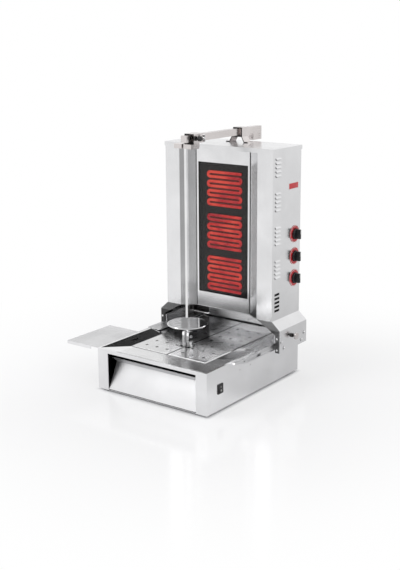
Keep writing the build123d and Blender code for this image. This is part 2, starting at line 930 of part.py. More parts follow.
# Brackets: outer plate, sloped shoulder, foot under the tower, and a gusset at each end
with BuildPart() as bracket_right:
    bracket_section = bent_sheet(
        across(tower_rear - sheet),
        sheet,
        Side.LEFT,
        (bracket_outer, bracket_bottom),
        (bracket_outer, bracket_shoulder),
        (tower_half, tower_bottom),
        (tower_half - bracket_foot, tower_bottom),
    )
    extrude(bracket_section, amount=tower_depth - 2 * sheet)
    for gusset_y in (tower_front + sheet, tower_rear):
        gusset = outline(
            across(gusset_y),
            (gusset_inner, tower_bottom),
            (tower_half, tower_bottom),
            (bracket_outer, bracket_shoulder),
            (bracket_outer, bracket_bottom),
            (bracket_outer - bracket_flange, bracket_bottom),
            (bracket_outer - bracket_flange, bracket_shoulder - bracket_flange),
        )
        extrude(gusset, amount=sheet)
    with BuildSketch(beside(bracket_outer - sheet)):
        with Locations((lock_y, lock_z)):
            Circle(lock_stem / 2 + screw_clearance)
    extrude(amount=sheet, mode=Mode.SUBTRACT)
save(bracket_right, "bracket_right")

with BuildPart() as bracket_left:
    mirror(bracket_right.part, about=Plane.YZ)
    with BuildSketch(beside(-bracket_outer)):
        with Locations((lock_y, lock_z)):
            Circle(lock_stem / 2 + screw_clearance)
    extrude(amount=sheet)
save(bracket_left, "bracket_left")

# Dome screws: four on the outer plate and two on the front gusset of each bracket
flange_middle = (bracket_bottom + bracket_shoulder - bracket_flange) / 2
flange_run = bracket_shoulder - bracket_flange - bracket_bottom - 2 * front_dome_inset
with BuildPart() as bracket_screws_right:
    with BuildSketch(beside(bracket_outer)):
        for inset, rise in ((dome_low_inset, dome_low_rise), (dome_high_inset, dome_high_rise)):
            with Locations((tower_middle_y, bracket_bottom + rise)):
                with GridLocations(tower_depth - 2 * inset, 0, 2, 1):
                    Circle(dome_diameter / 2)
    extrude(amount=dome_height)
    chamfer(bracket_screws_right.edges().group_by(Axis.X)[-1], dome_edge)
    with BuildSketch(across(tower_front)):
        with Locations((bracket_outer - bracket_flange / 2, flange_middle)):
            with GridLocations(0, flange_run, 1, 2):
                Circle(front_dome_diameter / 2)
    extrude(amount=front_dome_height)
save(bracket_screws_right, "bracket_screws_right")

with BuildPart() as bracket_screws_left:
    mirror(bracket_screws_right.part, about=Plane.YZ)
save(bracket_screws_left, "bracket_screws_left")

# Lock screw: a stem through the bracket and the boss, a nut on it and a disc to turn it by
with BuildPart() as lock_screw:
    lock_tip = rail_outer + running_gap
    with BuildSketch(beside(lock_tip)):
        with Locations((lock_y, lock_z)):
            Circle(lock_stem / 2)
    extrude(amount=bracket_outer + lock_reach - lock_tip)
    with BuildSketch(beside(bracket_outer + running_gap)):
        with Locations((lock_y, lock_z)):
            RegularPolygon(lock_nut / 2, 6)
    extrude(amount=lock_nut_height)
    with BuildSketch(beside(bracket_outer + lock_reach)):
        with Locations((lock_y, lock_z)):
            Circle(lock_head / 2)
    extrude(amount=lock_head_thickness)
    chamfer(lock_screw.edges().group_by(Axis.X)[-1], edge_round / 2)
save(lock_screw, "lock_screw")

# Tower shell
with BuildPart() as tower_floor:
    with BuildSketch(level(tower_bottom)):
        with Locations((0, tower_middle_y)):
            Rectangle(tower_width - 2 * sheet, tower_depth - 2 * sheet)
        with BuildLine():
            Polyline(
                (-reflector_outer - 2 * sheet, tower_front),
                (-reflector_inner - 2 * sheet, heater_y + sheet),
                (reflector_inner + 2 * sheet, heater_y + sheet),
                (reflector_outer + 2 * sheet, tower_front),
                close=True,
            )
        make_face(mode=Mode.SUBTRACT)
    extrude(amount=sheet)
save(tower_floor, "tower_floor")

with BuildPart() as tower_top_cap:
    cap_width = tower_width + 2 * cap_gap
    cap_depth = tower_depth + 2 * cap_gap
    with BuildSketch(level(panel_top)):
        with Locations((0, tower_middle_y)):
            Rectangle(cap_width + 2 * cap_overhang, cap_depth + 2 * cap_overhang)
    extrude(amount=sheet)
    with BuildSketch(level(panel_top)):
        with Locations((0, tower_middle_y)):
            Rectangle(cap_width + 2 * cap_overhang, cap_depth + 2 * cap_overhang)
            Rectangle(cap_width, cap_depth, mode=Mode.SUBTRACT)
    extrude(amount=-cap_rim)
save(tower_top_cap, "tower_top")

with BuildPart() as tower_back:
    with BuildSketch(across(tower_rear)):
        with Locations((0, panel_middle)):
            Rectangle(tower_width, panel_height)
            with GridLocations(2 * back_slot_width, louvre_group_pitch, 2, louvre_groups):
                with GridLocations(0, louvre_pitch, 1, louvre_count):
                    Rectangle(back_slot_width, back_slot_height, mode=Mode.SUBTRACT)
    extrude(amount=sheet)
save(tower_back, "tower_back")

# Side panels with groups of louvres, hooded but for the lowest group, which is plain slots; the
# right panel also has the spindle holes
louvre_y = tower_front + louvre_front + louvre_width / 2
louvre_tops = [
    tower_top - louvre_top_drop - group * louvre_group_pitch - slot * louvre_pitch
    for group in range(louvre_groups)
    for slot in range(louvre_count)
]
with BuildPart() as tower_side_right:
    with BuildSketch(beside(tower_half - sheet)):
        with Locations((tower_middle_y, panel_middle)):
            Rectangle(tower_depth - 2 * sheet, panel_height)
        with Locations(*[(louvre_y, top - louvre_height / 2) for top in louvre_tops]):
            Rectangle(louvre_width, louvre_height, mode=Mode.SUBTRACT)
        with Locations(*[(control_y, z) for z in control_levels]):
            Circle(spindle_hole / 2, mode=Mode.SUBTRACT)
    extrude(amount=sheet)
    for top in louvre_tops[:-louvre_count]:
        hood = bent_sheet(
            across(louvre_y + louvre_width / 2),
            sheet / 2,
            Side.LEFT,
            (tower_half - sheet / 2, top),
            (tower_half + louvre_proud, top - louvre_height + sheet),
        )
        extrude(hood, amount=louvre_width)
save(tower_side_right, "tower_side_right")

with BuildPart() as tower_side_left:
    mirror(tower_side_right.part, about=Plane.YZ)
    with BuildSketch(beside(-tower_half)):
        with Locations(*[(control_y, z) for z in control_levels]):
            Circle(spindle_hole / 2)
    extrude(amount=sheet)
save(tower_side_left, "tower_side_left")

# Front columns, each bent in to an angled reflector strip beside the heater
with BuildPart() as column_right:
    column_section = bent_sheet(
        level(tower_bottom),
        sheet,
        Side.RIGHT,
        (tower_half, tower_front),
        (reflector_outer, tower_front),
        (reflector_inner, heater_y),
    )
    extrude(column_section, amount=panel_height)
save(column_right, "column_right")

with BuildPart() as column_left:
    mirror(column_right.part, about=Plane.YZ)
save(column_left, "column_left")

# Heater: panel with a window, ceramic glass, three serpentine elements and the insulation board
with BuildPart() as heater_panel:
    panel_section = bent_sheet(
        level(tower_bottom + sheet),
        sheet,
        Side.LEFT,
        (-heater_half, heater_y + heater_flange),
        (-heater_half, heater_y),
        (heater_half, heater_y),
        (heater_half, heater_y + heater_flange),
    )
    extrude(panel_section, amount=panel_height - sheet)
    with BuildSketch(across(heater_y + sheet)):
        with Locations((0, glass_middle)):
            Rectangle(glass_width, glass_height)
    extrude(amount=sheet, mode=Mode.SUBTRACT)
save(heater_panel, "heater_panel")

with BuildPart() as ceramic_glass:
    with BuildSketch(across(glass_back)):
        with Locations((0, glass_middle)):
            Rectangle(glass_width + 2 * glass_overlap, glass_height + 2 * glass_overlap)
    extrude(amount=glass_thickness)
save(ceramic_glass, "ceramic_glass")

element_rise = (element_passes - 1) * element_pitch
run_right = element_width / 2 - element_rod / 2
run_left = -run_right + element_pitch / 2
bend_right = run_right - element_pitch / 2
terminal_x = run_right - terminal_inset
for element_level, element_name in zip(element_levels, control_names):
    heights = [element_level + element_rise / 2 - n * element_pitch for n in range(element_passes)]
    with BuildPart() as element:
        with BuildLine(across(element_y)) as path:
            for n, height in enumerate(heights):
                leftward = n % 2 == 0
                start = run_right if n == 0 else bend_right
                end = run_right if n == element_passes - 1 else bend_right
                if leftward:
                    Line((start, height), (run_left, height))
                else:
                    Line((run_left, height), (end, height))
                if n < element_passes - 1:
                    bend_x = run_left if leftward else bend_right
                    reach = -element_pitch / 2 if leftward else element_pitch / 2
                    ThreePointArc(
                        (bend_x, height),
                        (bend_x + reach, height - element_pitch / 2),
                        (bend_x, height - element_pitch),
                    )
        with BuildSketch(Plane(path.wire() @ 0, z_dir=path.wire() % 0)):
            Circle(element_rod / 2)
        sweep(path=path.wire())
        with BuildSketch(across(element_y + terminal_length)):
            with Locations((terminal_x, heights[0]), (terminal_x, heights[-1])):
                Circle(terminal_rod / 2)
        extrude(amount=terminal_length)
    save(element, f"element_{element_name}")

with BuildPart() as insulation_board:
    with BuildSketch(across(board_front + board_thickness)):
        with Locations((0, glass_middle)):
            Rectangle(heater_width - 2 * sheet, glass_height + 2 * (glass_overlap + board_margin))
        for element_level in element_levels:
            with Locations((terminal_x, element_level)):
                with GridLocations(0, element_rise, 1, 2):
                    Circle(terminal_rod / 2 + element_gap, mode=Mode.SUBTRACT)
    extrude(amount=board_thickness)
save(insulation_board, "insulation_board")

# Energy regulators inside the right side, their dial plates and knobs outside
with BuildPart() as regulators:
    with BuildSketch(beside(tower_half - sheet - regulator_depth)):
        with Locations(*[(control_y - regulator_offset, z) for z in control_levels]):
            Rectangle(regulator_side, regulator_side)
    extrude(amount=regulator_depth)
    with BuildSketch(beside(tower_half - sheet)):
        with Locations(*[(control_y, z) for z in control_levels]):
            Circle(spindle_diameter / 2)
    extrude(amount=sheet + spindle_length)
save(regulators, "regulators")

with BuildPart() as dial_plates:
    with BuildSketch(beside(tower_half)):
        with Locations(*[(control_y, z) for z in control_levels]):
            Circle(dial_diameter / 2)
            Circle(spindle_hole / 2, mode=Mode.SUBTRACT)
    extrude(amount=dial_thickness)
save(dial_plates, "dial_plates")

knob_back = tower_half + dial_thickness + knob_gap
for knob_level, knob_name in zip(control_levels, control_names):
    with BuildPart() as knob:
        with BuildSketch(beside(knob_back)):
            with Locations((control_y, knob_level)):
                Circle(knob_diameter / 2)
        extrude(amount=knob_skirt)
        fillet(knob.edges().group_by(Axis.X)[-1], edge_round)
        with BuildSketch(beside(knob_back + knob_skirt)):
            with Locations((control_y, knob_level)):
                SlotOverall(knob_diameter - 2 * knob_grip_inset, knob_grip, rotation=90)
        extrude(amount=knob_height - knob_skirt, taper=knob_taper)
        with BuildSketch(beside(knob_back)):
            with Locations((control_y, knob_level)):
                Circle(spindle_diameter / 2 + spindle_clearance)
        extrude(amount=spindle_length, mode=Mode.SUBTRACT)
    save(knob, f"knob_{knob_name}")

# Top arm with its turned-down end, and the hat bracket whose sleeve it slides through
with BuildPart() as arm:
    leg_front = arm_rear_y - arm_leg_length
    arm_side_view = outline(
        beside(-arm_side / 2),
        (arm_axis_front, arm_top),
        (arm_rear_y, arm_top),
        (arm_rear_y, arm_bottom - arm_leg_drop),
        (leg_front, arm_bottom - arm_leg_drop),
        (leg_front, arm_bottom),
        (arm_axis_front, arm_bottom),
    )
    extrude(arm_side_view, amount=arm_side)
    with BuildSketch(beside(arm_side / 2 - notch_depth)):
        with Locations((arm_rear_y - arm_leg_length / 2, arm_bottom - arm_leg_drop / 2)):
            with GridLocations(0, notch_pitch, 1, notch_count):
                Rectangle(notch_length, notch_width)
    extrude(amount=notch_depth, mode=Mode.SUBTRACT)
save(arm, "arm")


def sleeve_section(y):
    """Rectangular tube round the arm, with slack on the right for the clamping screws."""
    with BuildSketch(across(y)) as face:
        with Locations((sleeve_left - sleeve_wall, sleeve_bottom)):
            Rectangle(
                sleeve_right - sleeve_left + 2 * sleeve_wall,
                sleeve_top - sleeve_bottom,
                align=(Align.MIN, Align.MIN),
            )
        with Locations((sleeve_left, arm_bottom)):
            Rectangle(
                sleeve_right - sleeve_left,
                arm_side + sleeve_top_gap,
                align=(Align.MIN, Align.MIN),
                mode=Mode.SUBTRACT,
            )
    return face.sketch


with BuildPart() as arm_support:
    hat_rear = hat_y + hat_length / 2
    hat_section = bent_sheet(
        across(hat_rear),
        hat_sheet,
        Side.RIGHT,
        (-hat_foot / 2, tower_top + hat_sheet),
        (-hat_shoulder / 2, tower_top + hat_sheet),
        (-hat_top / 2, sleeve_bottom),
        (hat_top / 2, sleeve_bottom),
        (hat_shoulder / 2, tower_top + hat_sheet),
        (hat_foot / 2, tower_top + hat_sheet),
    )
    extrude(hat_section, amount=hat_length)
    extrude(sleeve_section(hat_rear), amount=hat_length)
save(arm_support, "arm_support")

# Skewer holder: a sleeve on the arm, the fork under it and the two clamping screws
clamp_y = holder_front + clamp_from_front
wing_y = holder_front + wing_from_front
sleeve_face = sleeve_right + sleeve_wall
screw_tip = arm_side / 2 + running_gap
with BuildPart() as holder_sleeve:
    extrude(sleeve_section(holder_front + holder_length), amount=holder_length)
    with BuildSketch(beside(sleeve_right)):
        with Locations((clamp_y, arm_middle), (wing_y, arm_middle)):
            Circle(screw_stem / 2 + screw_clearance)
    extrude(amount=sleeve_wall, mode=Mode.SUBTRACT)
save(holder_sleeve, "holder_sleeve")

with BuildPart() as bearing_fork:
    with BuildSketch(level(fork_bottom)) as fork_plan:
        with Locations((0, skewer_y)):
            Rectangle(fork_width, fork_length)
        chamfer(fork_plan.vertices().group_by(Axis.Y)[0], fork_chamfer)
        with Locations((0, skewer_y + fork_length / 2)):
            Rectangle(fork_tongue_width, fork_tongue_length, align=(Align.CENTER, Align.MIN))
        with Locations((0, skewer_y)):
            Circle(journal_diameter / 2 + journal_clearance, mode=Mode.SUBTRACT)
            Rectangle(
                journal_diameter + 2 * journal_clearance,
                fork_length / 2,
                align=(Align.CENTER, Align.MAX),
                mode=Mode.SUBTRACT,
            )
    extrude(amount=fork_height)
save(bearing_fork, "bearing_fork")

with BuildPart() as clamp_knob:
    with BuildSketch(beside(screw_tip)):
        with Locations((clamp_y, arm_middle)):
            Circle(screw_stem / 2)
    extrude(amount=sleeve_face + clamp_stand - screw_tip)
    with BuildSketch(beside(sleeve_face + clamp_stand)):
        with Locations((clamp_y, arm_middle)):
            Circle(clamp_diameter / 2)
    extrude(amount=clamp_length)
    fillet(clamp_knob.edges().group_by(Axis.X)[-1], edge_round)
save(clamp_knob, "clamp_knob")

with BuildPart() as wing_screw:
    with BuildSketch(beside(screw_tip)):
        with Locations((wing_y, arm_middle)):
            Circle(screw_stem / 2)
    extrude(amount=sleeve_face + clamp_stand - screw_tip)
    with BuildSketch(beside(sleeve_face + clamp_stand)):
        with Locations((wing_y, arm_middle)):
            Circle(wing_hub / 2)
    extrude(amount=wing_hub)
    with BuildSketch(across(wing_y + wing_thickness / 2)):
        with Locations((sleeve_face + clamp_stand + wing_hub / 2, arm_middle)):
            SlotOverall(wing_span, wing_reach, rotation=90)
    extrude(amount=wing_thickness)
save(wing_screw, "wing_screw")

with BuildPart() as cable_gland:
    with BuildSketch(across(half_depth)):
        with Locations((gland_x, gland_z)):
            Circle(gland_thread / 2)
    extrude(amount=gland_nut_length)
    with BuildSketch(across(half_depth + gland_nut_length)):
        with Locations((gland_x, gland_z)):
            RegularPolygon(gland_nut / 2, 6)
    extrude(amount=gland_nut_length)
    with BuildSketch(across(half_depth + gland_nut_length)):
        with Locations((gland_x, gland_z)):
            Circle(gland_thread / 2)
    extrude(amount=-gland_dome_length)
    fillet(cable_gland.edges().group_by(Axis.Y)[-1], edge_round)
    with BuildSketch(across(half_depth + gland_nut_length + gland_dome_length)):
        with Locations((gland_x, gland_z)):
            Circle(gland_bore / 2)
    extrude(amount=2 * gland_nut_length + gland_dome_length, mode=Mode.SUBTRACT)
save(cable_gland, "cable_gland")
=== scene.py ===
"""Looks of an electric doner kebab grill, dressed over its packed construction model."""

import logging
import math
from dataclasses import dataclass
from enum import Enum
from functools import cache
from typing import ClassVar, Iterable, Sequence

import bmesh
import bpy
from mathutils import Matrix, Vector


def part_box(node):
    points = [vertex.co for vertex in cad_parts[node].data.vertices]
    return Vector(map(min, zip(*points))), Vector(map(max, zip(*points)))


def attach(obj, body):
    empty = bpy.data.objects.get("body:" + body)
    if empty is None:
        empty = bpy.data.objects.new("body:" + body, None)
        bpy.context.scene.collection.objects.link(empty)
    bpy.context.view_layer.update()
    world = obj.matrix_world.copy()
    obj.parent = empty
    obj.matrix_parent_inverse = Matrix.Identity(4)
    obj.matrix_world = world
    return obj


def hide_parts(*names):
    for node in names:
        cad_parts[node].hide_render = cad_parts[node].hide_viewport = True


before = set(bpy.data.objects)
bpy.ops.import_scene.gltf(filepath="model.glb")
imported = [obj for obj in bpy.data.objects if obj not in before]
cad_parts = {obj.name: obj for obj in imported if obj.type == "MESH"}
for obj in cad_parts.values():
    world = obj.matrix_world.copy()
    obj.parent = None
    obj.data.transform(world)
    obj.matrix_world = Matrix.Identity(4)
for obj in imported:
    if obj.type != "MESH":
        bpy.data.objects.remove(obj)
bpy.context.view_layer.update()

LOG = logging.getLogger("grill")
MM = 0.001  # one millimetre, in the metres that all sizes are in
Colour = tuple[float, float, float]
Tones = tuple[Colour, Colour]
Point = tuple[float, float, float]
Span = tuple[float, float]
Group = bpy.types.ShaderNodeTree
Material = bpy.types.Material
Node = bpy.types.Node
Socket = bpy.types.NodeSocket


class Axis(Enum):
    """The grill's axes, for the brushing of a sheet and for places on it."""

    ACROSS = 0
    DEPTH = 1
    UPRIGHT = 2

    @property
    def turn(self) -> Point:
        """Turn of the coordinates that lays upright brushing along this axis, in radians."""
        quarter = math.pi / 2
        return ((0.0, quarter, 0.0), (quarter, 0.0, 0.0), (0.0, 0.0, 0.0))[self.value]


class ShaderTree:
    """Short way to add and link nodes in one shader tree."""

    def __init__(self, tree: bpy.types.NodeTree) -> None:
        """Keeps the tree that the nodes go into."""
        self.tree = tree

    def add(self, kind: str, **values: object) -> Node:
        """Adds a node.

        Args:
            kind: Blender's node type.
            values: Properties of the node, and input values by socket name with underscores for spaces.

        Returns:
            The new node.
        """
        node = self.tree.nodes.new(kind)
        for key, value in values.items():
            label = key.replace("_", " ")
            if label in node.inputs:
                node.inputs[label].default_value = value
            else:
                setattr(node, key, value)
        return node

    def link(self, source: Socket, target: Socket) -> None:
        """Links an output to an input."""
        self.tree.links.new(source, target)

    def _fill(self, node: Node, values: Iterable[Socket | float | Point]) -> None:
        """Fills a node's inputs in order.

        Args:
            node: The node.
            values: For each input, an output to link or a plain value.
        """
        for target, value in zip(node.inputs, values):
            if isinstance(value, Socket):
                self.link(value, target)
            else:
                target.default_value = value

    def maths(self, operation: str, *values: Socket | float, clamp: bool = False) -> Socket:
        """Adds a sum, product or the like.

        Args:
            operation: Blender's name of the operation.
            values: Its values in order, each an output or a number.
            clamp: Whether the result is kept between 0 and 1.

        Returns:
            The result.
        """
        node = self.add("ShaderNodeMath", operation=operation, use_clamp=clamp)
        self._fill(node, values)
        return node.outputs["Value"]

    def vector(self, operation: str, *values: Socket | Point) -> Node:
        """Adds an operation on vectors.

        Args:
            operation: Blender's name of the operation.
            values: Its vectors in order, each an output or three numbers.

        Returns:
            The node, with its Vector and Value outputs.
        """
        node = self.add("ShaderNodeVectorMath", operation=operation)
        self._fill(node, values)
        return node

    def remainder(self, share: Socket) -> Socket:
        """Gives what a share leaves of 1."""
        return self.maths("SUBTRACT", 1.0, share)

    def length(self, place: Socket) -> Socket:
        """Gives the distance of a point from the origin."""
        return self.vector("LENGTH", place).outputs["Value"]

    def towards(self, place: Socket, direction: Point) -> Socket:
        """Gives how far a point lies towards a direction."""
        return self.vector("DOT_PRODUCT", place, direction).outputs["Value"]

    def scaled(self, colour: Socket, share: Socket) -> Socket:
        """Takes a share of a colour.

        Args:
            colour: The full colour.
            share: What is left of it at each point.

        Returns:
            The weaker colour.
        """
        node = self.vector("SCALE", colour)
        self.link(share, node.inputs["Scale"])
        return node.outputs["Vector"]

    def axes(self, place: Socket) -> tuple[Socket, Socket, Socket]:
        """Splits a point.

        Args:
            place: The point.

        Returns:
            Its places across, in depth and upright.
        """
        node = self.add("ShaderNodeSeparateXYZ")
        self.link(place, node.inputs["Vector"])
        return tuple(node.outputs)

    def ramp(self, factor: Socket, stops: Sequence[tuple[float, Colour]]) -> Socket:
        """Adds a colour ramp.

        Args:
            factor: Value that drives the ramp.
            stops: Position and colour of each stop, in order.

        Returns:
            The ramp's colour output.
        """
        node = self.add("ShaderNodeValToRGB")
        elements = node.color_ramp.elements
        while len(elements) < len(stops):
            elements.new(1.0)
        for element, (position, colour) in zip(elements, stops):
            element.position = position
            element.color = (*colour, 1.0)
        self.link(factor, node.inputs["Fac"])
        return node.outputs["Color"]

    def tint(self, factor: Socket, tones: Tones) -> Socket:
        """Runs from one colour to another while a value goes from 0 to 1."""
        return self.ramp(factor, ((0.0, tones[0]), (1.0, tones[1])))

    def spread(self, value: Socket, low: float, high: float) -> Socket:
        """Maps a value from 0..1 to another range.

        Args:
            value: The value.
            low: Result at 0.
            high: Result at 1.

        Returns:
            The mapped output.
        """
        node = self.add("ShaderNodeMapRange", To_Min=low, To_Max=high)
        self.link(value, node.inputs["Value"])
        return node.outputs["Result"]

    def step(self, value: Socket, start: float, end: float, low: float = 0.0, high: float = 1.0) -> Socket:
        """Eases from low to high while a value goes from start to end.

        Args:
            value: Value that drives the step.
            start: Where the step begins.
            end: Where it is done, above or below the start.
            low: Result before it.
            high: Result after it.

        Returns:
            The eased output.
        """
        node = self.add("ShaderNodeMapRange", interpolation_type="SMOOTHSTEP",
                        From_Min=start, From_Max=end, To_Min=low, To_Max=high)
        self.link(value, node.inputs["Value"])
        return node.outputs["Result"]

    def between(self, value: Socket, low: float, high: float, soft: float) -> Socket:
        """Gives 1 between two places along an axis and 0 outside them.

        Args:
            value: Place along the axis.
            low: Where the field starts.
            high: Where it ends.
            soft: Width of its edge, inside it.

        Returns:
            The field as a mask.
        """
        away = self.maths("ABSOLUTE", self.maths("SUBTRACT", value, (low + high) / 2))
        half = (high - low) / 2
        return self.step(away, half - soft, half, 1.0, 0.0)


class SharedEffects:
    """Node groups that more than one finish uses, each built once.

    Attributes:
        contrast: Range that the scratches are spread over, wider than 0 to 1 because noise keeps to its
            middle.
        middle: Middle of that noise.
    """

    contrast: Span = (-0.4, 1.4)
    middle: float = 0.5

    @staticmethod
    def _start(name: str, inputs: Iterable[str], outputs: Iterable[str]) -> tuple[ShaderTree, Node, Node]:
        """Makes a group with a vector input and the named value sockets.

        Args:
            name: Name of the group.
            inputs: Its value inputs.
            outputs: Its value outputs.

        Returns:
            The group's tree, its input node and its output node.
        """
        tree = bpy.data.node_groups.new(name, "ShaderNodeTree")
        tree.interface.new_socket("Vector", in_out="INPUT", socket_type="NodeSocketVector")
        for way, labels in (("INPUT", inputs), ("OUTPUT", outputs)):
            for label in labels:
                tree.interface.new_socket(label, in_out=way, socket_type="NodeSocketFloat")
        shader = ShaderTree(tree)
        return shader, shader.add("NodeGroupInput"), shader.add("NodeGroupOutput")

    @classmethod
    @cache
    def brushing(cls) -> Group:
        """Fine parallel scratches along the third axis of the vector.

        Returns:
            A group with a Scratches value for roughness and a Height for bump.
        """
        shader, start, end = cls._start("brushing", ("Across", "Along"), ("Scratches", "Height"))
        stretch = shader.add("ShaderNodeCombineXYZ")
        for axis, label in (("X", "Across"), ("Y", "Across"), ("Z", "Along")):
            shader.link(start.outputs[label], stretch.inputs[axis])
        drawn_out = shader.vector("MULTIPLY", start.outputs["Vector"], stretch.outputs["Vector"])
        noise = shader.add("ShaderNodeTexNoise", Scale=1.0, Detail=3.0, Roughness=0.6)
        shader.link(drawn_out.outputs["Vector"], noise.inputs["Vector"])
        shader.link(shader.spread(noise.outputs["Fac"], *cls.contrast), end.inputs["Scratches"])
        shader.link(noise.outputs["Fac"], end.inputs["Height"])
        return shader.tree

    @classmethod
    @cache
    def handling(cls) -> Group:
        """Soft uneven patches, as wiping and handling leave on a surface.

        Returns:
            A group with a Mask value from 0 to 1.
        """
        shader, start, end = cls._start("handling", ("Scale", "Contrast"), ("Mask",))
        noise = shader.add("ShaderNodeTexNoise", Detail=4.0, Roughness=0.55, Distortion=0.4)
        for label in ("Vector", "Scale"):
            shader.link(start.outputs[label], noise.inputs[label])
        centred = shader.maths("SUBTRACT", noise.outputs["Fac"], cls.middle)
        mask = shader.maths("MULTIPLY_ADD", centred, start.outputs["Contrast"], cls.middle, clamp=True)
        shader.link(mask, end.inputs["Mask"])
        return shader.tree

    @classmethod
    @cache
    def moulding(cls) -> Group:
        """Fine leathery skin of moulded plastic, rubber, paint and board.

        Returns:
            A group with a Height for bump.
        """
        shader, start, end = cls._start("moulding", ("Scale",), ("Height",))
        cells = shader.add("ShaderNodeTexVoronoi", feature="SMOOTH_F1")
        for label in ("Vector", "Scale"):
            shader.link(start.outputs[label], cells.inputs[label])
        shader.link(cells.outputs["Distance"], end.inputs["Height"])
        return shader.tree


@dataclass(frozen=True)
class Finish:
    """What the finishes share.

    Attributes:
        name: Name of the material.
        uneven: Patches to the metre, and their contrast.
    """

    name: str
    uneven: ClassVar[Span] = (5.0, 2.4)

    def start(self) -> tuple[Material, ShaderTree, Node, Socket, Socket]:
        """Makes the material.

        Returns:
            The material, its tree, its Principled node, the object coordinates and the mask of its patches.
        """
        material = bpy.data.materials.new(self.name)
        material.use_nodes = True
        shader = ShaderTree(material.node_tree)
        surface = material.node_tree.nodes["Principled BSDF"]
        place = shader.add("ShaderNodeTexCoord").outputs["Object"]
        scale, contrast = self.uneven
        patches = self.group(shader, SharedEffects.handling(), place, Scale=scale, Contrast=contrast)
        return material, shader, surface, place, patches.outputs["Mask"]

    @staticmethod
    def group(shader: ShaderTree, tree: Group, place: Socket, **values: float) -> Node:
        """Places a shared effect in a material.

        Args:
            shader: Tree of the material.
            tree: The effect's node group.
            place: Coordinates that it reads.
            values: Its input values.

        Returns:
            The group's node.
        """
        node = shader.add("ShaderNodeGroup", node_tree=tree, **values)
        shader.link(place, node.inputs["Vector"])
        return node

    @staticmethod
    def bump(shader: ShaderTree, surface: Node, height: Socket, strength: float, distance: float) -> None:
        """Drives the surface's normal from a height.

        Args:
            shader: Tree of the material.
            surface: Its Principled node.
            height: Height at each point, from 0 to 1.
            strength: Strength of the bump.
            distance: Depth of the relief, in metres.
        """
        node = shader.add("ShaderNodeBump", Strength=strength, Distance=distance)
        shader.link(height, node.inputs["Height"])
        shader.link(node.outputs["Normal"], surface.inputs["Normal"])


@dataclass(frozen=True)
class Shade:
    """Painted shade on a sheet along one axis, as in holes and gaps and on faces that lie in shade.

    Attributes:
        axis: Axis that it runs along.
        clear: Place where no shade is painted, in metres.
        dark: Place where it is fully dark.
        tone: Share of the reflectance that is left there.
        limits: Axes along which it ends, each with the two places.
        soft: Width of the edge at those places.
    """

    axis: Axis
    clear: float
    dark: float
    tone: float
    limits: tuple[tuple[Axis, float, float], ...] = ()
    soft: float = 0.5 * MM

    def mask(self, shader: ShaderTree, place: Socket) -> Socket:
        """Gives the share of reflectance that is left at each point.

        Args:
            shader: Tree that the nodes go into.
            place: Object coordinates.

        Returns:
            1 where no shade is painted and the tone where it is fully dark.
        """
        axes = shader.axes(place)
        loss = shader.step(axes[self.axis.value], self.clear, self.dark, 0.0, 1.0 - self.tone)
        for axis, low, high in self.limits:
            inside = shader.between(axes[axis.value], low, high, self.soft)
            loss = shader.maths("MULTIPLY", loss, inside)
        return shader.remainder(loss)


@dataclass(frozen=True)
class PaintedHoleShade:
    """Painted shade round the drain holes of the trays, which widens their dark spots.

    Attributes:
        first: Place of the first hole, from the seam and along the depth, in metres.
        pitch: Distance between holes across and along the depth.
        rows: Holes along the depth.
        radius: Radius of the dark rim.
        soft: Width of its edge.
        tone: Share of the reflectance that is left on it.
    """

    first: Span = (0.036, -0.158)
    pitch: Span = (0.048, 0.059)
    rows: int = 7
    radius: float = 6.2 * MM
    soft: float = 1.0 * MM
    tone: float = 0.06

    def mask(self, shader: ShaderTree, place: Socket) -> Socket:
        """Gives the share of reflectance that is left at each point.

        Args:
            shader: Tree that the nodes go into.
            place: Object coordinates.

        Returns:
            1 away from the holes and the tone on the painted shade round them.
        """
        across, depth, _ = shader.axes(place)
        from_seam = shader.maths("SUBTRACT", shader.maths("ABSOLUTE", across), self.first[0])
        from_first = shader.maths("SUBTRACT", depth, self.first[1])
        nearest = shader.add("ShaderNodeCombineXYZ")
        for axis, along, pitch in (("X", from_seam, self.pitch[0]), ("Y", from_first, self.pitch[1])):
            shader.link(shader.maths("PINGPONG", along, pitch / 2), nearest.inputs[axis])
        away = shader.length(nearest.outputs["Vector"])
        loss = shader.step(away, self.radius, self.radius - self.soft, 0.0, 1.0 - self.tone)
        half = self.pitch[1] / 2
        rows = shader.between(from_first, -half, self.rows * self.pitch[1] - half, self.soft)
        return shader.remainder(shader.maths("MULTIPLY", loss, rows))


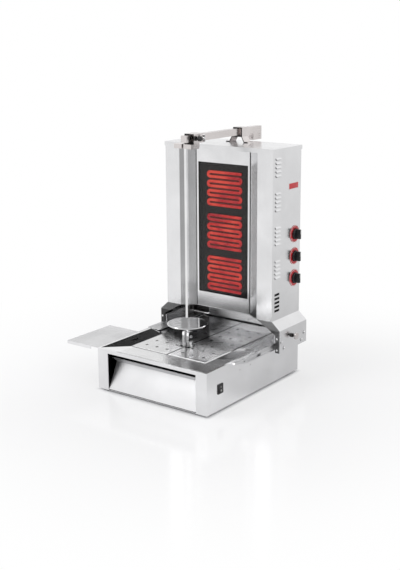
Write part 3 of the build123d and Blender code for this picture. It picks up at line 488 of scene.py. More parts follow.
@dataclass(frozen=True)
class Steel(Finish):
    """Stainless sheet or bar, brushed along one axis.

    Attributes:
        tone: Darker and lighter reflectance that the patches run between.
        gloss: Lowest and highest roughness.
        grain: Axis that the brushing runs along.
        scratch: Depth of the brushing, in metres.
        shades: Painted shade on its edges, faces and round its holes.
        wiped: Where wiping has dulled it, if it has.
        dulling: Roughness that the wiping adds.
        lines: Scratches to the metre, across the brushing and along it.
        line_share: Share of the roughness that follows the scratches, while the patches give the rest.
        relief: Strength of the bump.
    """

    tone: Tones = ((0.74, 0.74, 0.75), (0.84, 0.84, 0.85))
    gloss: Span = (0.14, 0.30)
    grain: Axis = Axis.UPRIGHT
    scratch: float = 0.02 * MM
    shades: tuple[Shade | PaintedHoleShade, ...] = ()
    wiped: Shade | None = None
    dulling: float = 0.16
    lines: Span = (700.0, 9.0)
    line_share: float = 0.6
    relief: float = 0.35

    def material(self) -> Material:
        """Builds the material.

        Returns:
            The material.
        """
        material, shader, surface, place, patches = self.start()
        turned = shader.add("ShaderNodeMapping", Rotation=self.grain.turn)
        shader.link(place, turned.inputs["Vector"])
        across, along = self.lines
        brushing = self.group(shader, SharedEffects.brushing(), turned.outputs["Vector"],
                              Across=across, Along=along)
        colour = shader.tint(patches, self.tone)
        # Painted shade: each mask darkens the base colour.
        for shade in self.shades:
            colour = shader.scaled(colour, shade.mask(shader, place))
        shader.link(colour, surface.inputs["Base Color"])
        worn = shader.spread(patches, 1.0 - self.line_share, 0.0)
        mixed = shader.maths("MULTIPLY_ADD", brushing.outputs["Scratches"], self.line_share, worn,
                             clamp=True)
        rough = shader.spread(mixed, *self.gloss)
        if self.wiped:
            dulled = shader.remainder(self.wiped.mask(shader, place))
            rough = shader.maths("ADD", rough, shader.maths("MULTIPLY", dulled, self.dulling))
        shader.link(rough, surface.inputs["Roughness"])
        surface.inputs["Metallic"].default_value = 1.0
        self.bump(shader, surface, brushing.outputs["Height"], self.relief, self.scratch)
        return material


@dataclass(frozen=True)
class Moulded(Finish):
    """Moulded plastic, rubber, paint or print.

    Attributes:
        uneven: Patches to the metre, and their contrast.
        tone: Two colours that the patches run between.
        gloss: Lowest and highest roughness.
        skin: Cells of the surface skin to the metre.
        depth: Depth of the skin, in metres.
        relief: Strength of the bump.
    """

    uneven: ClassVar[Span] = (18.0, 2.0)
    tone: Tones = ((0.012, 0.012, 0.013), (0.022, 0.022, 0.024))
    gloss: Span = (0.32, 0.48)
    skin: float = 900.0
    depth: float = 0.06 * MM
    relief: float = 0.5

    def material(self) -> Material:
        """Builds the material.

        Returns:
            The material.
        """
        material, shader, surface, place, patches = self.start()
        skin = self.group(shader, SharedEffects.moulding(), place, Scale=self.skin)
        shader.link(shader.tint(patches, self.tone), surface.inputs["Base Color"])
        shader.link(shader.spread(patches, *self.gloss), surface.inputs["Roughness"])
        self.bump(shader, surface, skin.outputs["Height"], self.relief, self.depth)
        return material


@dataclass(frozen=True)
class DarkGlass(Finish):
    """Dark ceramic glass in front of the heating elements.

    Attributes:
        uneven: Patches to the metre, and their contrast.
        tint: Colour of what shows through it.
        gloss: Lowest and highest roughness.
        index: Index of refraction.
    """

    uneven: ClassVar[Span] = (9.0, 2.0)
    tint: Colour = (0.62, 0.60, 0.60)
    gloss: Span = (0.01, 0.05)
    index: float = 1.31

    def material(self) -> Material:
        """Builds the material.

        Returns:
            The material.
        """
        material, shader, surface, _, patches = self.start()
        shader.link(shader.spread(patches, *self.gloss), surface.inputs["Roughness"])
        surface.inputs["Base Color"].default_value = (*self.tint, 1.0)
        surface.inputs["Transmission Weight"].default_value = 1.0
        surface.inputs["IOR"].default_value = self.index
        return material


@dataclass(frozen=True)
class Glowing(Finish):
    """What the hot pieces share: a glow that stays in front of the insulation board.

    Attributes:
        fade: Depth behind the board's face at which the glow ends, in metres.
        one_mirror: Count of reflections that is above none and below one.
    """

    fade: ClassVar[float] = 1.0 * MM
    one_mirror: ClassVar[float] = 0.5

    def shine(self, shader: ShaderTree, surface: Node, place: Socket, colour: Socket, power: float) -> None:
        """Lets a surface glow where it is seen itself, and not in the polished steel round it.

        Args:
            shader: Tree of the material.
            surface: Its Principled node.
            place: Object coordinates.
            colour: Colour of the glow.
            power: Strength of the glow.
        """
        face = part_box("insulation_board")[0][1]
        front = shader.step(shader.axes(place)[1], face, face + self.fade, 1.0, 0.0)
        mirrors = shader.add("ShaderNodeLightPath").outputs["Glossy Depth"]
        direct = shader.maths("LESS_THAN", mirrors, self.one_mirror)
        seen = shader.maths("MULTIPLY", front, direct)
        shader.link(shader.scaled(colour, seen), surface.inputs["Emission Color"])
        surface.inputs["Emission Strength"].default_value = power


@dataclass(frozen=True)
class HotWire(Glowing):
    """Heating element at red heat, uneven along its length.

    Attributes:
        uneven: Patches to the metre, and their contrast.
        glow: Stops of the glow from the cooler patches to the hotter ones.
        scale: Colours of the wire itself.
        rough: Its roughness.
        power: Strength of the glow.
    """

    uneven: ClassVar[Span] = (16.0, 3.0)
    glow: tuple[tuple[float, Colour], ...] = (
        (0.15, (0.52, 0.010, 0.022)),
        (0.50, (0.76, 0.026, 0.022)),
        (0.90, (0.95, 0.075, 0.045)),
    )
    scale: Tones = ((0.10, 0.02, 0.02), (0.2, 0.05, 0.03))
    rough: float = 0.7
    power: float = 1.0

    def material(self) -> Material:
        """Builds the material.

        Returns:
            The material.
        """
        material, shader, surface, place, patches = self.start()
        self.shine(shader, surface, place, shader.ramp(patches, self.glow), self.power)
        shader.link(shader.tint(patches, self.scale), surface.inputs["Base Color"])
        surface.inputs["Roughness"].default_value = self.rough
        return material


@dataclass(frozen=True)
class SootyBoard(Glowing):
    """Board behind the elements, almost black, with a painted dull red glow where each element lies, which
    stands for the light that the elements cast on it.

    Attributes:
        uneven: Patches to the metre, and their contrast.
        soot: Two colours that the patches run between.
        heat: No painted glow, and the painted dull red.
        elements: Nodes of the elements in front of it.
        soft: Width of the edge of the lit field, in metres.
        power: Strength of the painted dull red glow.
        rough: Its roughness.
        grit: Grains to the metre.
        depth: Depth of the grit, in metres.
        relief: Strength of the bump.
    """

    uneven: ClassVar[Span] = (14.0, 2.0)
    soot: Tones = ((0.012, 0.012, 0.012), (0.024, 0.023, 0.023))
    heat: Tones = ((0.0, 0.0, 0.0), (0.62, 0.035, 0.03))
    elements: tuple[str, ...] = ("element_upper", "element_middle", "element_lower")
    soft: float = 12.0 * MM
    power: float = 0.17
    rough: float = 0.9
    grit: float = 400.0
    depth: float = 0.2 * MM
    relief: float = 0.5

    def material(self) -> Material:
        """Builds the material.

        Returns:
            The material.
        """
        material, shader, surface, place, patches = self.start()
        shader.link(shader.tint(patches, self.soot), surface.inputs["Base Color"])
        across, _, upright = shader.axes(place)
        lit: Socket | float = 0.0
        for name in self.elements:
            low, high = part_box(name)
            width = shader.between(across, low[0], high[0], self.soft)
            rise = shader.between(upright, low[2], high[2], self.soft)
            lit = shader.maths("MULTIPLY_ADD", width, rise, lit)
        # Painted light: the board glows red in the fields in front of the elements.
        self.shine(shader, surface, place, shader.tint(lit, self.heat), self.power)
        surface.inputs["Roughness"].default_value = self.rough
        grit = self.group(shader, SharedEffects.moulding(), place, Scale=self.grit)
        self.bump(shader, surface, grit.outputs["Height"], self.relief, self.depth)
        return material


class Palette:
    """Every finish of the grill as a ready material.

    Attributes:
        mirror: Tones of polished steel.
        warm: Tones of the steel of the arm and its screws.
        hand_gloss: Roughness of the arm, which is often handled.
        print_depth: Depth of the skin of printed faces.
    """

    mirror: Tones = ((0.74, 0.74, 0.745), (0.84, 0.84, 0.845))
    warm: Tones = ((0.66, 0.62, 0.61), (0.75, 0.71, 0.70))
    hand_gloss: Span = (0.18, 0.32)
    print_depth: float = 0.02 * MM

    def __init__(self) -> None:
        """Builds the materials."""
        self.sheet = {
            Axis.ACROSS: Steel("sheet_brushed_across", grain=Axis.ACROSS).material(),
            Axis.DEPTH: Steel("sheet_brushed_in_depth", grain=Axis.DEPTH).material(),
            Axis.UPRIGHT: Steel("sheet_brushed_upright", grain=Axis.UPRIGHT).material(),
        }
        self.tray, self.gutter = self._trays()
        self.panel, self.shaded_skirt = self._panel_and_skirt_sheets()
        self.brackets = {**self._bracket("left"), **self._bracket("right")}
        # Dark steel for the bracket guards: painted shade, standing for the shade under the tower.
        self.guard = Steel("guard_shade_sheet", tone=((0.15, 0.145, 0.14), (0.23, 0.225, 0.22)),
                           gloss=(0.30, 0.45), grain=Axis.ACROSS).material()
        self.satin = Steel("satin_sheet", tone=((0.70, 0.70, 0.71), (0.77, 0.77, 0.78)),
                           gloss=(0.36, 0.46), grain=Axis.ACROSS).material()
        self.bright = Steel("polished_steel", tone=self.mirror, gloss=(0.04, 0.12),
                            scratch=0.005 * MM).material()
        self.zinc = Steel("plated_steel", tone=((0.58, 0.58, 0.59), (0.70, 0.70, 0.71)),
                          gloss=(0.20, 0.36), grain=Axis.DEPTH).material()
        self.arm = Steel("arm_steel", tone=self.warm, gloss=self.hand_gloss, grain=Axis.DEPTH).material()
        self.sleeves = {node: self._sleeve(node) for node in ("arm_support", "holder_sleeve")}
        self.lock = self._lock()
        self.rubber = Moulded("foot_rubber", gloss=(0.6, 0.8), skin=500.0).material()
        self.plastic = Moulded("black_plastic").material()
        self.dial = Moulded("red_dial", tone=((0.52, 0.02, 0.03), (0.64, 0.04, 0.05)), gloss=(0.25, 0.4),
                            skin=700.0, depth=self.print_depth).material()
        self.motor = Moulded("motor_paint", tone=((0.16, 0.18, 0.2), (0.22, 0.24, 0.27)),
                             gloss=(0.35, 0.5)).material()
        self.print = Moulded("white_print", tone=((0.74, 0.73, 0.71), (0.82, 0.81, 0.79)),
                             gloss=(0.4, 0.55), skin=700.0, depth=self.print_depth).material()
        self.board = SootyBoard("insulation_board").material()
        self.glass = DarkGlass("ceramic_glass").material()
        self.hot = HotWire("hot_element").material()

    def _trays(self) -> tuple[Material, Material]:
        """Makes the steel of the drip trays, with painted shade at its cut edges, seam and drain holes, and
        of the gutter round them.

        Returns:
            The trays' material and the gutter's.
        """
        left, front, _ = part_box("tray_left")[0]
        right, rear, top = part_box("tray_right")[1]
        rim = 3.0 * MM
        # Painted shade below the trays' top face, on the walls of the holes and the seam, but not round
        # their outer rim.
        cut = Shade(Axis.UPRIGHT, clear=top - 0.1 * MM, dark=top - 0.5 * MM, tone=0.02,
                    limits=((Axis.ACROSS, left + rim, right - rim), (Axis.DEPTH, front + rim, rear - rim)))
        half_seam = 2.8 * MM
        # Painted shade along the seam between the trays, wider than the gap itself.
        seam = Shade(Axis.UPRIGHT, clear=top + 1.0 * MM, dark=top + 0.5 * MM, tone=0.2,
                     limits=((Axis.ACROSS, -half_seam, half_seam),))
        wiped = Shade(Axis.DEPTH, clear=front, dark=front - 6.0 * MM, tone=0.0,
                      limits=((Axis.ACROSS, left, -2 * left),), soft=20.0 * MM)
        # The trays carry painted shade at their cut edges, along the seam and round the holes.
        tray = Steel("tray_sheet", tone=self.mirror, gloss=(0.11, 0.20), grain=Axis.DEPTH,
                     scratch=0.006 * MM, shades=(cut, seam, PaintedHoleShade()))
        gutter = Steel("gutter_sheet", tone=self.mirror, gloss=(0.04, 0.10), grain=Axis.ACROSS,
                       scratch=0.003 * MM, wiped=wiped)
        return tray.material(), gutter.material()

    @staticmethod
    def _panel_and_skirt_sheets() -> tuple[Material, Material]:
        """Makes the steel of the heater panel, with painted shade at its foot that stands for a darker
        reflection, and of the splash skirt, with painted shade on its upper part under the tower.

        Returns:
            The panel's material and the skirt's.
        """
        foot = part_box("heater_panel")[0][2]
        # Painted shade at the panel's foot, darker towards the bottom.
        painted_foot_shade = Shade(Axis.UPRIGHT, clear=foot + 62.0 * MM, dark=foot + 4.0 * MM, tone=0.42)
        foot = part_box("splash_skirt")[0][2]
        # Painted shade on the skirt's upper part, which lies in the shadow of the tower.
        painted_top_shade = Shade(Axis.UPRIGHT, clear=foot + 24.0 * MM, dark=foot + 34.0 * MM, tone=0.62)
        return (Steel("heater_sheet", grain=Axis.UPRIGHT, shades=(painted_foot_shade,)).material(),
                Steel("skirt_shade_sheet", grain=Axis.ACROSS, shades=(painted_top_shade,)).material())

    def _bracket(self, side: str) -> dict[str, Material]:
        """Makes the steel of one tower bracket and of its screws, with painted shade on the front face of
        the gusset, on the inner face of the outer plate and round the foot of each screw.

        Args:
            side: Left or right.

        Returns:
            The materials by node.
        """
        low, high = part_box("bracket_right")
        # The tone is the painted shade left on the gusset's front face, darker on the left bracket than on
        # the right.
        out, inward, tone = {"left": (-high[0], MM, 0.22), "right": (high[0], -MM, 0.40)}[side]
        gusset = Shade(Axis.DEPTH, clear=low[1] + 3.0 * MM, dark=low[1] + 2.2 * MM, tone=tone)
        # Painted shade on the inner face of the outer plate.
        inside = Shade(Axis.ACROSS, clear=out + 1.2 * inward, dark=out + 1.6 * inward, tone=0.4,
                       limits=((Axis.UPRIGHT, low[2] - 10.0 * MM, high[2] - 32.0 * MM),))
        # Painted shade round the foot of each screw on the outer plate.
        ring = Shade(Axis.ACROSS, clear=out - 1.2 * inward, dark=out - 0.4 * inward, tone=0.10,
                     limits=((Axis.DEPTH, low[1] + 1.0 * MM, high[1]),))
        sheet = Steel(f"bracket_sheet_{side}", grain=Axis.DEPTH, shades=(gusset, inside))
        screws = Steel(f"bracket_screws_{side}_steel", tone=self.mirror, gloss=(0.10, 0.22), shades=(ring,))
        return {f"bracket_{side}": sheet.material(), f"bracket_screws_{side}": screws.material()}

    def _sleeve(self, node: str) -> Material:
        """Makes the steel of a sleeve round the arm, with painted shade on its front end, where the arm
        runs into it.

        Args:
            node: The sleeve's node.

        Returns:
            The material.
        """
        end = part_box(node)[0][1]
        # Painted shade on the sleeve's front end.
        shade = Shade(Axis.DEPTH, clear=end + 0.6 * MM, dark=end + 0.1 * MM, tone=0.05)
        return Steel(f"{node}_steel", tone=self.warm, gloss=self.hand_gloss, grain=Axis.DEPTH,
                     shades=(shade,)).material()

    def _lock(self) -> Material:
        """Makes the steel of the lock screw, with painted shade on its stem and nut below the head.

        Returns:
            The material.
        """
        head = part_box("lock_screw")[1][0] - 6.0 * MM
        # Painted shade on the stem and nut, which lie in the head's shadow.
        stem = Shade(Axis.ACROSS, clear=head, dark=head - 0.4 * MM, tone=0.10)
        return Steel("lock_steel", tone=self.warm, gloss=(0.22, 0.36), shades=(stem,)).material()


class Dressing:
    """Gives the construction nodes their finish.

    Attributes:
        across: Sheets brushed across.
        in_depth: Sheets brushed from front to rear.
        upright: Sheets brushed upright.
        bright: Polished pieces.
        arm: The arm and the fork on it.
        zinc: Plated pieces.
        plastic: Black mouldings.
    """

    across = "base_floor base_front base_rear tower_back tower_top tower_floor motor_bracket".split()
    in_depth = "base_side_left base_side_right drawer_pan drawer_runners shelf_hook side_shelf".split()
    upright = "tower_side_left tower_side_right column_left column_right".split()
    bright = "skewer meat_disc disc_collar drive_socket drive_shaft shaft_bearing wing_screw".split()
    arm = "arm bearing_fork".split()
    zinc = "rail_left rail_right runner_left runner_right socket_bolt".split()
    plastic = ("switch_housing switch_rocker cable_gland clamp_knob regulators knob_upper knob_middle "
               "knob_lower").split()

    def __init__(self, palette: Palette) -> None:
        """Pairs each node with its material.

        Args:
            palette: Finishes of the grill.
        """
        self.finishes: dict[str, Material] = {
            "tray_left": palette.tray,
            "tray_right": palette.tray,
            "pan_frame": palette.gutter,
            "splash_skirt": palette.shaded_skirt,
            "heater_panel": palette.panel,
            **palette.brackets,
            "drawer_front": palette.satin,
            "lock_screw": palette.lock,
            **palette.sleeves,
            "feet": palette.rubber,
            "gear_motor": palette.motor,
            "dial_plates": palette.dial,
            "ceramic_glass": palette.glass,
            "insulation_board": palette.board,
            **{element: palette.hot for element in SootyBoard.elements},
        }
        for nodes, material in (
            (self.across, palette.sheet[Axis.ACROSS]),
            (self.in_depth, palette.sheet[Axis.DEPTH]),
            (self.upright, palette.sheet[Axis.UPRIGHT]),
            (self.bright, palette.bright),
            (self.arm, palette.arm),
            (self.zinc, palette.zinc),
            (self.plastic, palette.plastic),
        ):
            self.finishes.update({node: material for node in nodes})

    def apply(self) -> None:
        """Puts the materials on the nodes."""
        for name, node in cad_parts.items():
            node.data.materials.clear()
            node.data.materials.append(self.finishes[name])
            LOG.info("dressed %s in %s", name, self.finishes[name].name)


class Piece:
    """A new piece: its mesh is shaped upright at the origin, laid in place, and made an object.

    Attributes:
        sideways: Lays an upright shape on the right side, with its own depth upright.
        per_flute: Points on the rim of a fluted body for each groove and ridge.
        two_sides: Corners of two faces on the side of a rod.
        merge: Distance at which points become one.
        sharp: Angle from which an edge stays sharp.
    """

    sideways = Matrix(((0.0, 0.0, 1.0), (1.0, 0.0, 0.0), (0.0, 1.0, 0.0))).to_4x4()
    per_flute = 4
    two_sides = 8
    merge = 0.001 * MM
    sharp = math.radians(32.0)

    def __init__(self, name: str) -> None:
        """Starts an empty mesh under a name."""
        self.name = name
        self.mesh = bmesh.new()

    def _raise(self, faces: list[bmesh.types.BMFace], height: float) -> list[bmesh.types.BMFace]:
        """Extrudes faces upwards.

        Args:
            faces: Faces to raise.
            height: How far they go.

        Returns:
            The raised faces.
        """
        made = bmesh.ops.extrude_face_region(self.mesh, geom=faces)["geom"]
        raised = [part for part in made if isinstance(part, bmesh.types.BMVert)]
        bmesh.ops.translate(self.mesh, verts=raised, vec=(0.0, 0.0, height))
        return [part for part in made if isinstance(part, bmesh.types.BMFace)]

    def _round(self, lines: Iterable[bmesh.types.BMEdge], edge: float, segments: int = 3) -> None:
        """Rounds edges.

        Args:
            lines: The edges.
            edge: Width of the rounding.
            segments: Steps of the rounding.
        """
        bmesh.ops.bevel(self.mesh, geom=list(lines), offset=edge, affect="EDGES", segments=segments,
                        profile=0.5, material=-1, clamp_overlap=True)

    def fluted(self, radius: float, base: float, height: float, flutes: int, depth: float,
               edge: float) -> None:
        """Adds an upright round body with grooves down its side and a chamfered top.

        Args:
            radius: Radius over the ridges.
            base: Height that it starts at.
            height: Its own height.
            flutes: Number of grooves.
            depth: Depth of a groove.
            edge: Width of the chamfer.
        """
        rim = bmesh.ops.create_circle(self.mesh, cap_ends=True, segments=self.per_flute * flutes,
                                      radius=radius)["verts"]
        inward = 1.0 - depth / radius
        half = self.per_flute / 2
        grooves = [vertex for number, vertex in enumerate(rim) if number % self.per_flute < half]
        bmesh.ops.scale(self.mesh, verts=grooves, vec=(inward, inward, 1.0))
        bmesh.ops.translate(self.mesh, verts=rim, vec=(0.0, 0.0, base))
        top = self._raise(rim[0].link_faces[:], height - edge)
        bmesh.ops.inset_region(self.mesh, faces=top, thickness=edge, use_even_offset=True)
        upper = list({vertex for face in top for vertex in face.verts})
        bmesh.ops.translate(self.mesh, verts=upper, vec=(0.0, 0.0, edge))

    def block(self, size: Point, place: Point, edge: float = 0.0, taper: float = 1.0,
              turn: float = 0.0) -> None:
        """Adds a block with rounded edges.

        Args:
            size: Its three sizes.
            place: Middle of its underside.
            edge: Width of the rounding, none at 0.
            taper: Share of the width that is left at the top.
            turn: Turn about the upright axis of the piece, clockwise from above, in radians.
        """
        corners = bmesh.ops.create_cube(self.mesh, size=1.0)["verts"]
        bmesh.ops.translate(self.mesh, verts=corners, vec=(0.0, 0.0, 0.5))
        upper = [vertex for vertex in corners if vertex.co.z > 0.5]
        bmesh.ops.scale(self.mesh, verts=upper, vec=(taper, 1.0, 1.0))
        bmesh.ops.scale(self.mesh, verts=corners, vec=size)
        bmesh.ops.translate(self.mesh, verts=corners, vec=place)
        bmesh.ops.rotate(self.mesh, verts=corners, matrix=Matrix.Rotation(-turn, 3, "Z"))
        if edge:
            self._round({line for vertex in corners for line in vertex.link_edges}, edge)

    def rod(self, radius: float, base: float, height: float, edge: float = 0.0, segments: int = 32) -> None:
        """Adds an upright rod with rounded ends.

        Args:
            radius: Radius of the rod.
            base: Height that it starts at.
            height: Its own height.
            edge: Width of the rounding at its ends, none at 0.
            segments: Sides of the rod.
        """
        made = bmesh.ops.create_cone(self.mesh, cap_ends=True, segments=segments, radius1=radius,
                                     radius2=radius, depth=height)["verts"]
        bmesh.ops.translate(self.mesh, verts=made, vec=(0.0, 0.0, base + height / 2))
        if edge:
            self._round({line for vertex in made for line in vertex.link_edges
                         if sum(len(face.verts) for face in line.link_faces) > self.two_sides}, edge)

    def ring(self, outer: float, inner: float, base: float, height: float, segments: int = 64) -> None:
        """Adds a flat ring.

        Args:
            outer: Outer radius.
            inner: Inner radius.
            base: Height that it starts at.
            height: Its thickness.
            segments: Sides of the ring.
        """
        loops = [bmesh.ops.create_circle(self.mesh, segments=segments, radius=radius)["verts"]
                 for radius in (outer, inner)]
        rims = list({line for loop in loops for vertex in loop for line in vertex.link_edges})
        faces = bmesh.ops.bridge_loops(self.mesh, edges=rims)["faces"]
        bmesh.ops.translate(self.mesh, verts=loops[0] + loops[1], vec=(0.0, 0.0, base))
        self._raise(faces, height)

    def plate(self, corners: Sequence[Span], thickness: float, edge: float) -> None:
        """Adds a flat plate with rounded edges.

        Args:
            corners: Corners of its outline, in order.
            thickness: Its thickness.
            edge: Width of the rounding.
        """
        face = self.mesh.faces.new([self.mesh.verts.new((*corner, 0.0)) for corner in corners])
        lines = {line for part in (face, *self._raise([face], thickness)) for line in part.edges}
        self._round(lines, edge, segments=2)

    def numeral(self, text: str, height: float, place: Point, thickness: float) -> None:
        """Adds a plain number, upright and centred on a place.

        Args:
            text: The number.
            height: Its type size.
            place: Middle of its underside.
            thickness: How far it stands up.
        """
        curve = bpy.data.curves.new("numeral", "FONT")
        curve.body = text
        curve.size = height
        curve.align_x = "CENTER"
        curve.align_y = "CENTER"
        curve.extrude = thickness / 2
        carrier = bpy.data.objects.new("numeral", curve)
        bpy.context.scene.collection.objects.link(carrier)
        drawn = carrier.evaluated_get(bpy.context.evaluated_depsgraph_get())
        solid = bpy.data.meshes.new_from_object(drawn)
        solid.transform(Matrix.Translation(Vector(place) + Vector((0.0, 0.0, thickness / 2))))
        self.mesh.from_mesh(solid)
        bpy.data.objects.remove(carrier)
        bpy.data.curves.remove(curve)
        bpy.data.meshes.remove(solid)

    def lay(self, matrix: Matrix) -> None:
        """Moves all that is shaped so far to its place."""
        bmesh.ops.transform(self.mesh, matrix=matrix, verts=self.mesh.verts[:])

    def finish(self, material: Material, body: str, slot: str, *stands_for: str) -> None:
        """Makes the object.

        Args:
            material: Its finish.
            body: Body that it rides on.
            slot: Slot of the record that its finish belongs to; not used.
            stands_for: Construction nodes that it replaces.
        """
        bmesh.ops.remove_doubles(self.mesh, verts=self.mesh.verts[:], dist=self.merge)
        bmesh.ops.recalc_face_normals(self.mesh, faces=self.mesh.faces[:])
        for face in self.mesh.faces:
            face.smooth = True
        for line in self.mesh.edges:
            line.smooth = line.calc_face_angle(math.pi) < self.sharp
        data = bpy.data.meshes.new(self.name)
        self.mesh.to_mesh(data)
        self.mesh.free()
        data.materials.append(material)
        piece = bpy.data.objects.new(self.name, data)
        bpy.context.scene.collection.objects.link(piece)
        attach(piece, body)
        if stands_for:
            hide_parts(*stands_for)
        LOG.info("made %s on %s", self.name, body)


def on_the_side(low: Point, high: Point) -> Matrix:
    """Gives the place of an upright shape that lies across a node's box.

    Args:
        low: Lowest corner of the box.
        high: Highest corner of the box.

    Returns:
        The matrix that lays the shape there, with its foot on the left face of the box.
    """
    middle = (low[0], (low[1] + high[1]) / 2, (low[2] + high[2]) / 2)
    return Matrix.Translation(middle) @ Piece.sideways


@dataclass(frozen=True)
class ControlKnob:
    """One control knob: a fluted skirt with a finger grip and a white pointer, on a marked red dial.

    Attributes:
        level: Which of the three controls it is.
        skirt: Height of the fluted skirt.
        flutes: Grooves of the skirt.
        groove: Depth of a groove.
        grip: Width of the finger grip.
        grip_inset: How far the grip stays inside the skirt.
        taper: Share of the grip's width that is left at its top.
        edge: Rounding of its edges.
        pointer: Width of the pointer.
        print_height: Thickness of the print.
        band: How far inside the dial's edge its ring starts and ends.
        tick: Width and length of a tick.
        tick_gap: How far outside the knob a tick has its middle.
        numeral: Type size of the numbers.
        numeral_gap: How far outside the knob a number has its middle.
        scale: Numbers on the dial, from one end of the turn to the other.
        sweep: Turn from the first number to the last, in radians.
    """

    level: str
    skirt: float = 8.0 * MM
    flutes: int = 18
    groove: float = 0.9 * MM
    grip: float = 13.0 * MM
    grip_inset: float = 3.0 * MM
    taper: float = 0.72
    edge: float = 1.5 * MM
    pointer: float = 1.8 * MM
    print_height: float = 0.15 * MM
    band: Span = (0.6 * MM, 2.2 * MM)
    tick: Span = (0.9 * MM, 2.4 * MM)
    tick_gap: float = 2.2 * MM
    numeral: float = 5.2 * MM
    numeral_gap: float = 6.6 * MM
    scale: tuple[str, ...] = ("0", "1", "2", "3", "4", "5", "6")
    sweep: float = math.radians(270.0)

    def build(self, palette: Palette) -> None:
        """Makes the knob, its pointer and the marks of its dial.

        Args:
            palette: Finishes of the grill.
        """
        node = f"knob_{self.level}"
        low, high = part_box(node)
        radius = (high[1] - low[1]) / 2
        height = high[0] - low[0]
        place = on_the_side(low, high)
        length = 2 * (radius - self.grip_inset)

        knob = Piece(f"control_knob_{self.level}")
        knob.fluted(radius, 0.0, self.skirt, self.flutes, self.groove, self.edge)
        knob.block((self.grip, length, height - self.skirt + self.edge),
                   (0.0, 0.0, self.skirt - self.edge), self.edge, self.taper)
        knob.lay(place)
        knob.finish(palette.plastic, node, "black_plastic", node)

        pointer = Piece(f"knob_pointer_{self.level}")
        pointer.block((self.pointer, length / 2 - self.edge, self.print_height * 2),
                      (0.0, length / 4 - self.edge / 2, height - self.print_height))
        pointer.lay(place)
        pointer.finish(palette.print, node, "white_print")

        dial_low, dial_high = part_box("dial_plates")
        rim = (dial_high[1] - dial_low[1]) / 2
        face = dial_high[0] - low[0]
        marks = Piece(f"dial_marks_{self.level}")
        marks.ring(rim - self.band[0], rim - self.band[1], face, self.print_height)
        spot = radius + self.numeral_gap
        for number, label in enumerate(self.scale):
            turn = self.sweep * (number / (len(self.scale) - 1) - 0.5)
            marks.block((*self.tick, self.print_height), (0.0, radius + self.tick_gap, face), turn=turn)
            marks.numeral(label, self.numeral, (spot * math.sin(turn), spot * math.cos(turn), face),
                          self.print_height)
        marks.lay(place)
        marks.finish(palette.print, "tower", "white_print")


@dataclass(frozen=True)
class RockerMarks:
    """Stroke and ring on the two halves of the switch rocker.

    Attributes:
        pivot: Axis of the rocker, in metres.
        tilt: Tilt at rest, in radians.
        face: Distance from the axis to the raised ends.
        dip: How much lower the middle is.
        half: Half the rocker's length.
        height: Thickness of the print.
        stroke: Width and length of the stroke.
        ring: Outer and inner radius of the ring.
        segments: Sides of the ring.
    """

    pivot: Point = (0.2458, -0.221, 0.085)
    tilt: float = math.radians(8.0)
    face: float = 9.7 * MM
    dip: float = 2.0 * MM
    half: float = 13.0 * MM
    height: float = 0.2 * MM
    stroke: Span = (1.2 * MM, 6.0 * MM)
    ring: Span = (3.1 * MM, 2.1 * MM)
    segments: int = 32

    def build(self, palette: Palette) -> None:
        """Makes both marks.

        Args:
            palette: Finishes of the grill.
        """
        stroke = Piece("rocker_stroke")
        stroke.block((*self.stroke, self.height), (0.0, 0.0, 0.0))
        ring = Piece("rocker_ring")
        ring.ring(*self.ring, 0.0, self.height, self.segments)
        slope = math.atan2(self.dip, self.half)
        rest = Matrix.Translation(self.pivot) @ Matrix.Rotation(-self.tilt, 4, "Y")
        for mark, side in ((stroke, 1.0), (ring, -1.0)):
            spot = Matrix.Translation((self.face - self.dip / 2, 0.0, side * self.half / 2))
            mark.lay(rest @ spot @ Matrix.Rotation(side * slope, 4, "Y") @ Piece.sideways)
            mark.finish(palette.print, "rocker", "white_print")


@dataclass(frozen=True)
class BarePlate:
    """Bare red plate with a pale border, high on the right side of the tower.

    Attributes:
        depth: Where it starts and ends from front to rear.
        rise: Where it starts and ends in height.
        border: Width of the border.
        layer: Thickness of the border plate, and of the red field on it.
        edge: Rounding of both.
    """

    depth: Span = (0.222, 0.290)
    rise: Span = (0.728, 0.753)
    border: float = 2.2 * MM
    layer: float = 0.4 * MM
    edge: float = 0.4 * MM / 3

    def build(self, palette: Palette) -> None:
        """Makes the border plate and the red field on it.

        Args:
            palette: Finishes of the grill.
        """
        width = self.depth[1] - self.depth[0]
        height = self.rise[1] - self.rise[0]
        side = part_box("tower_back")[1][0]
        place = on_the_side((side, self.depth[0], self.rise[0]), (side, self.depth[1], self.rise[1]))
        for name, inset, base, material, slot in (
            ("plate_border", 0.0, 0.0, palette.print, "white_print"),
            ("plate_field", 2 * self.border, self.layer, palette.dial, "red_dial"),
        ):
            sheet = Piece(name)
            sheet.block((width - inset, height - inset, self.layer), (0.0, 0.0, base), self.edge)
            sheet.lay(place)
            sheet.finish(material, "tower", slot)


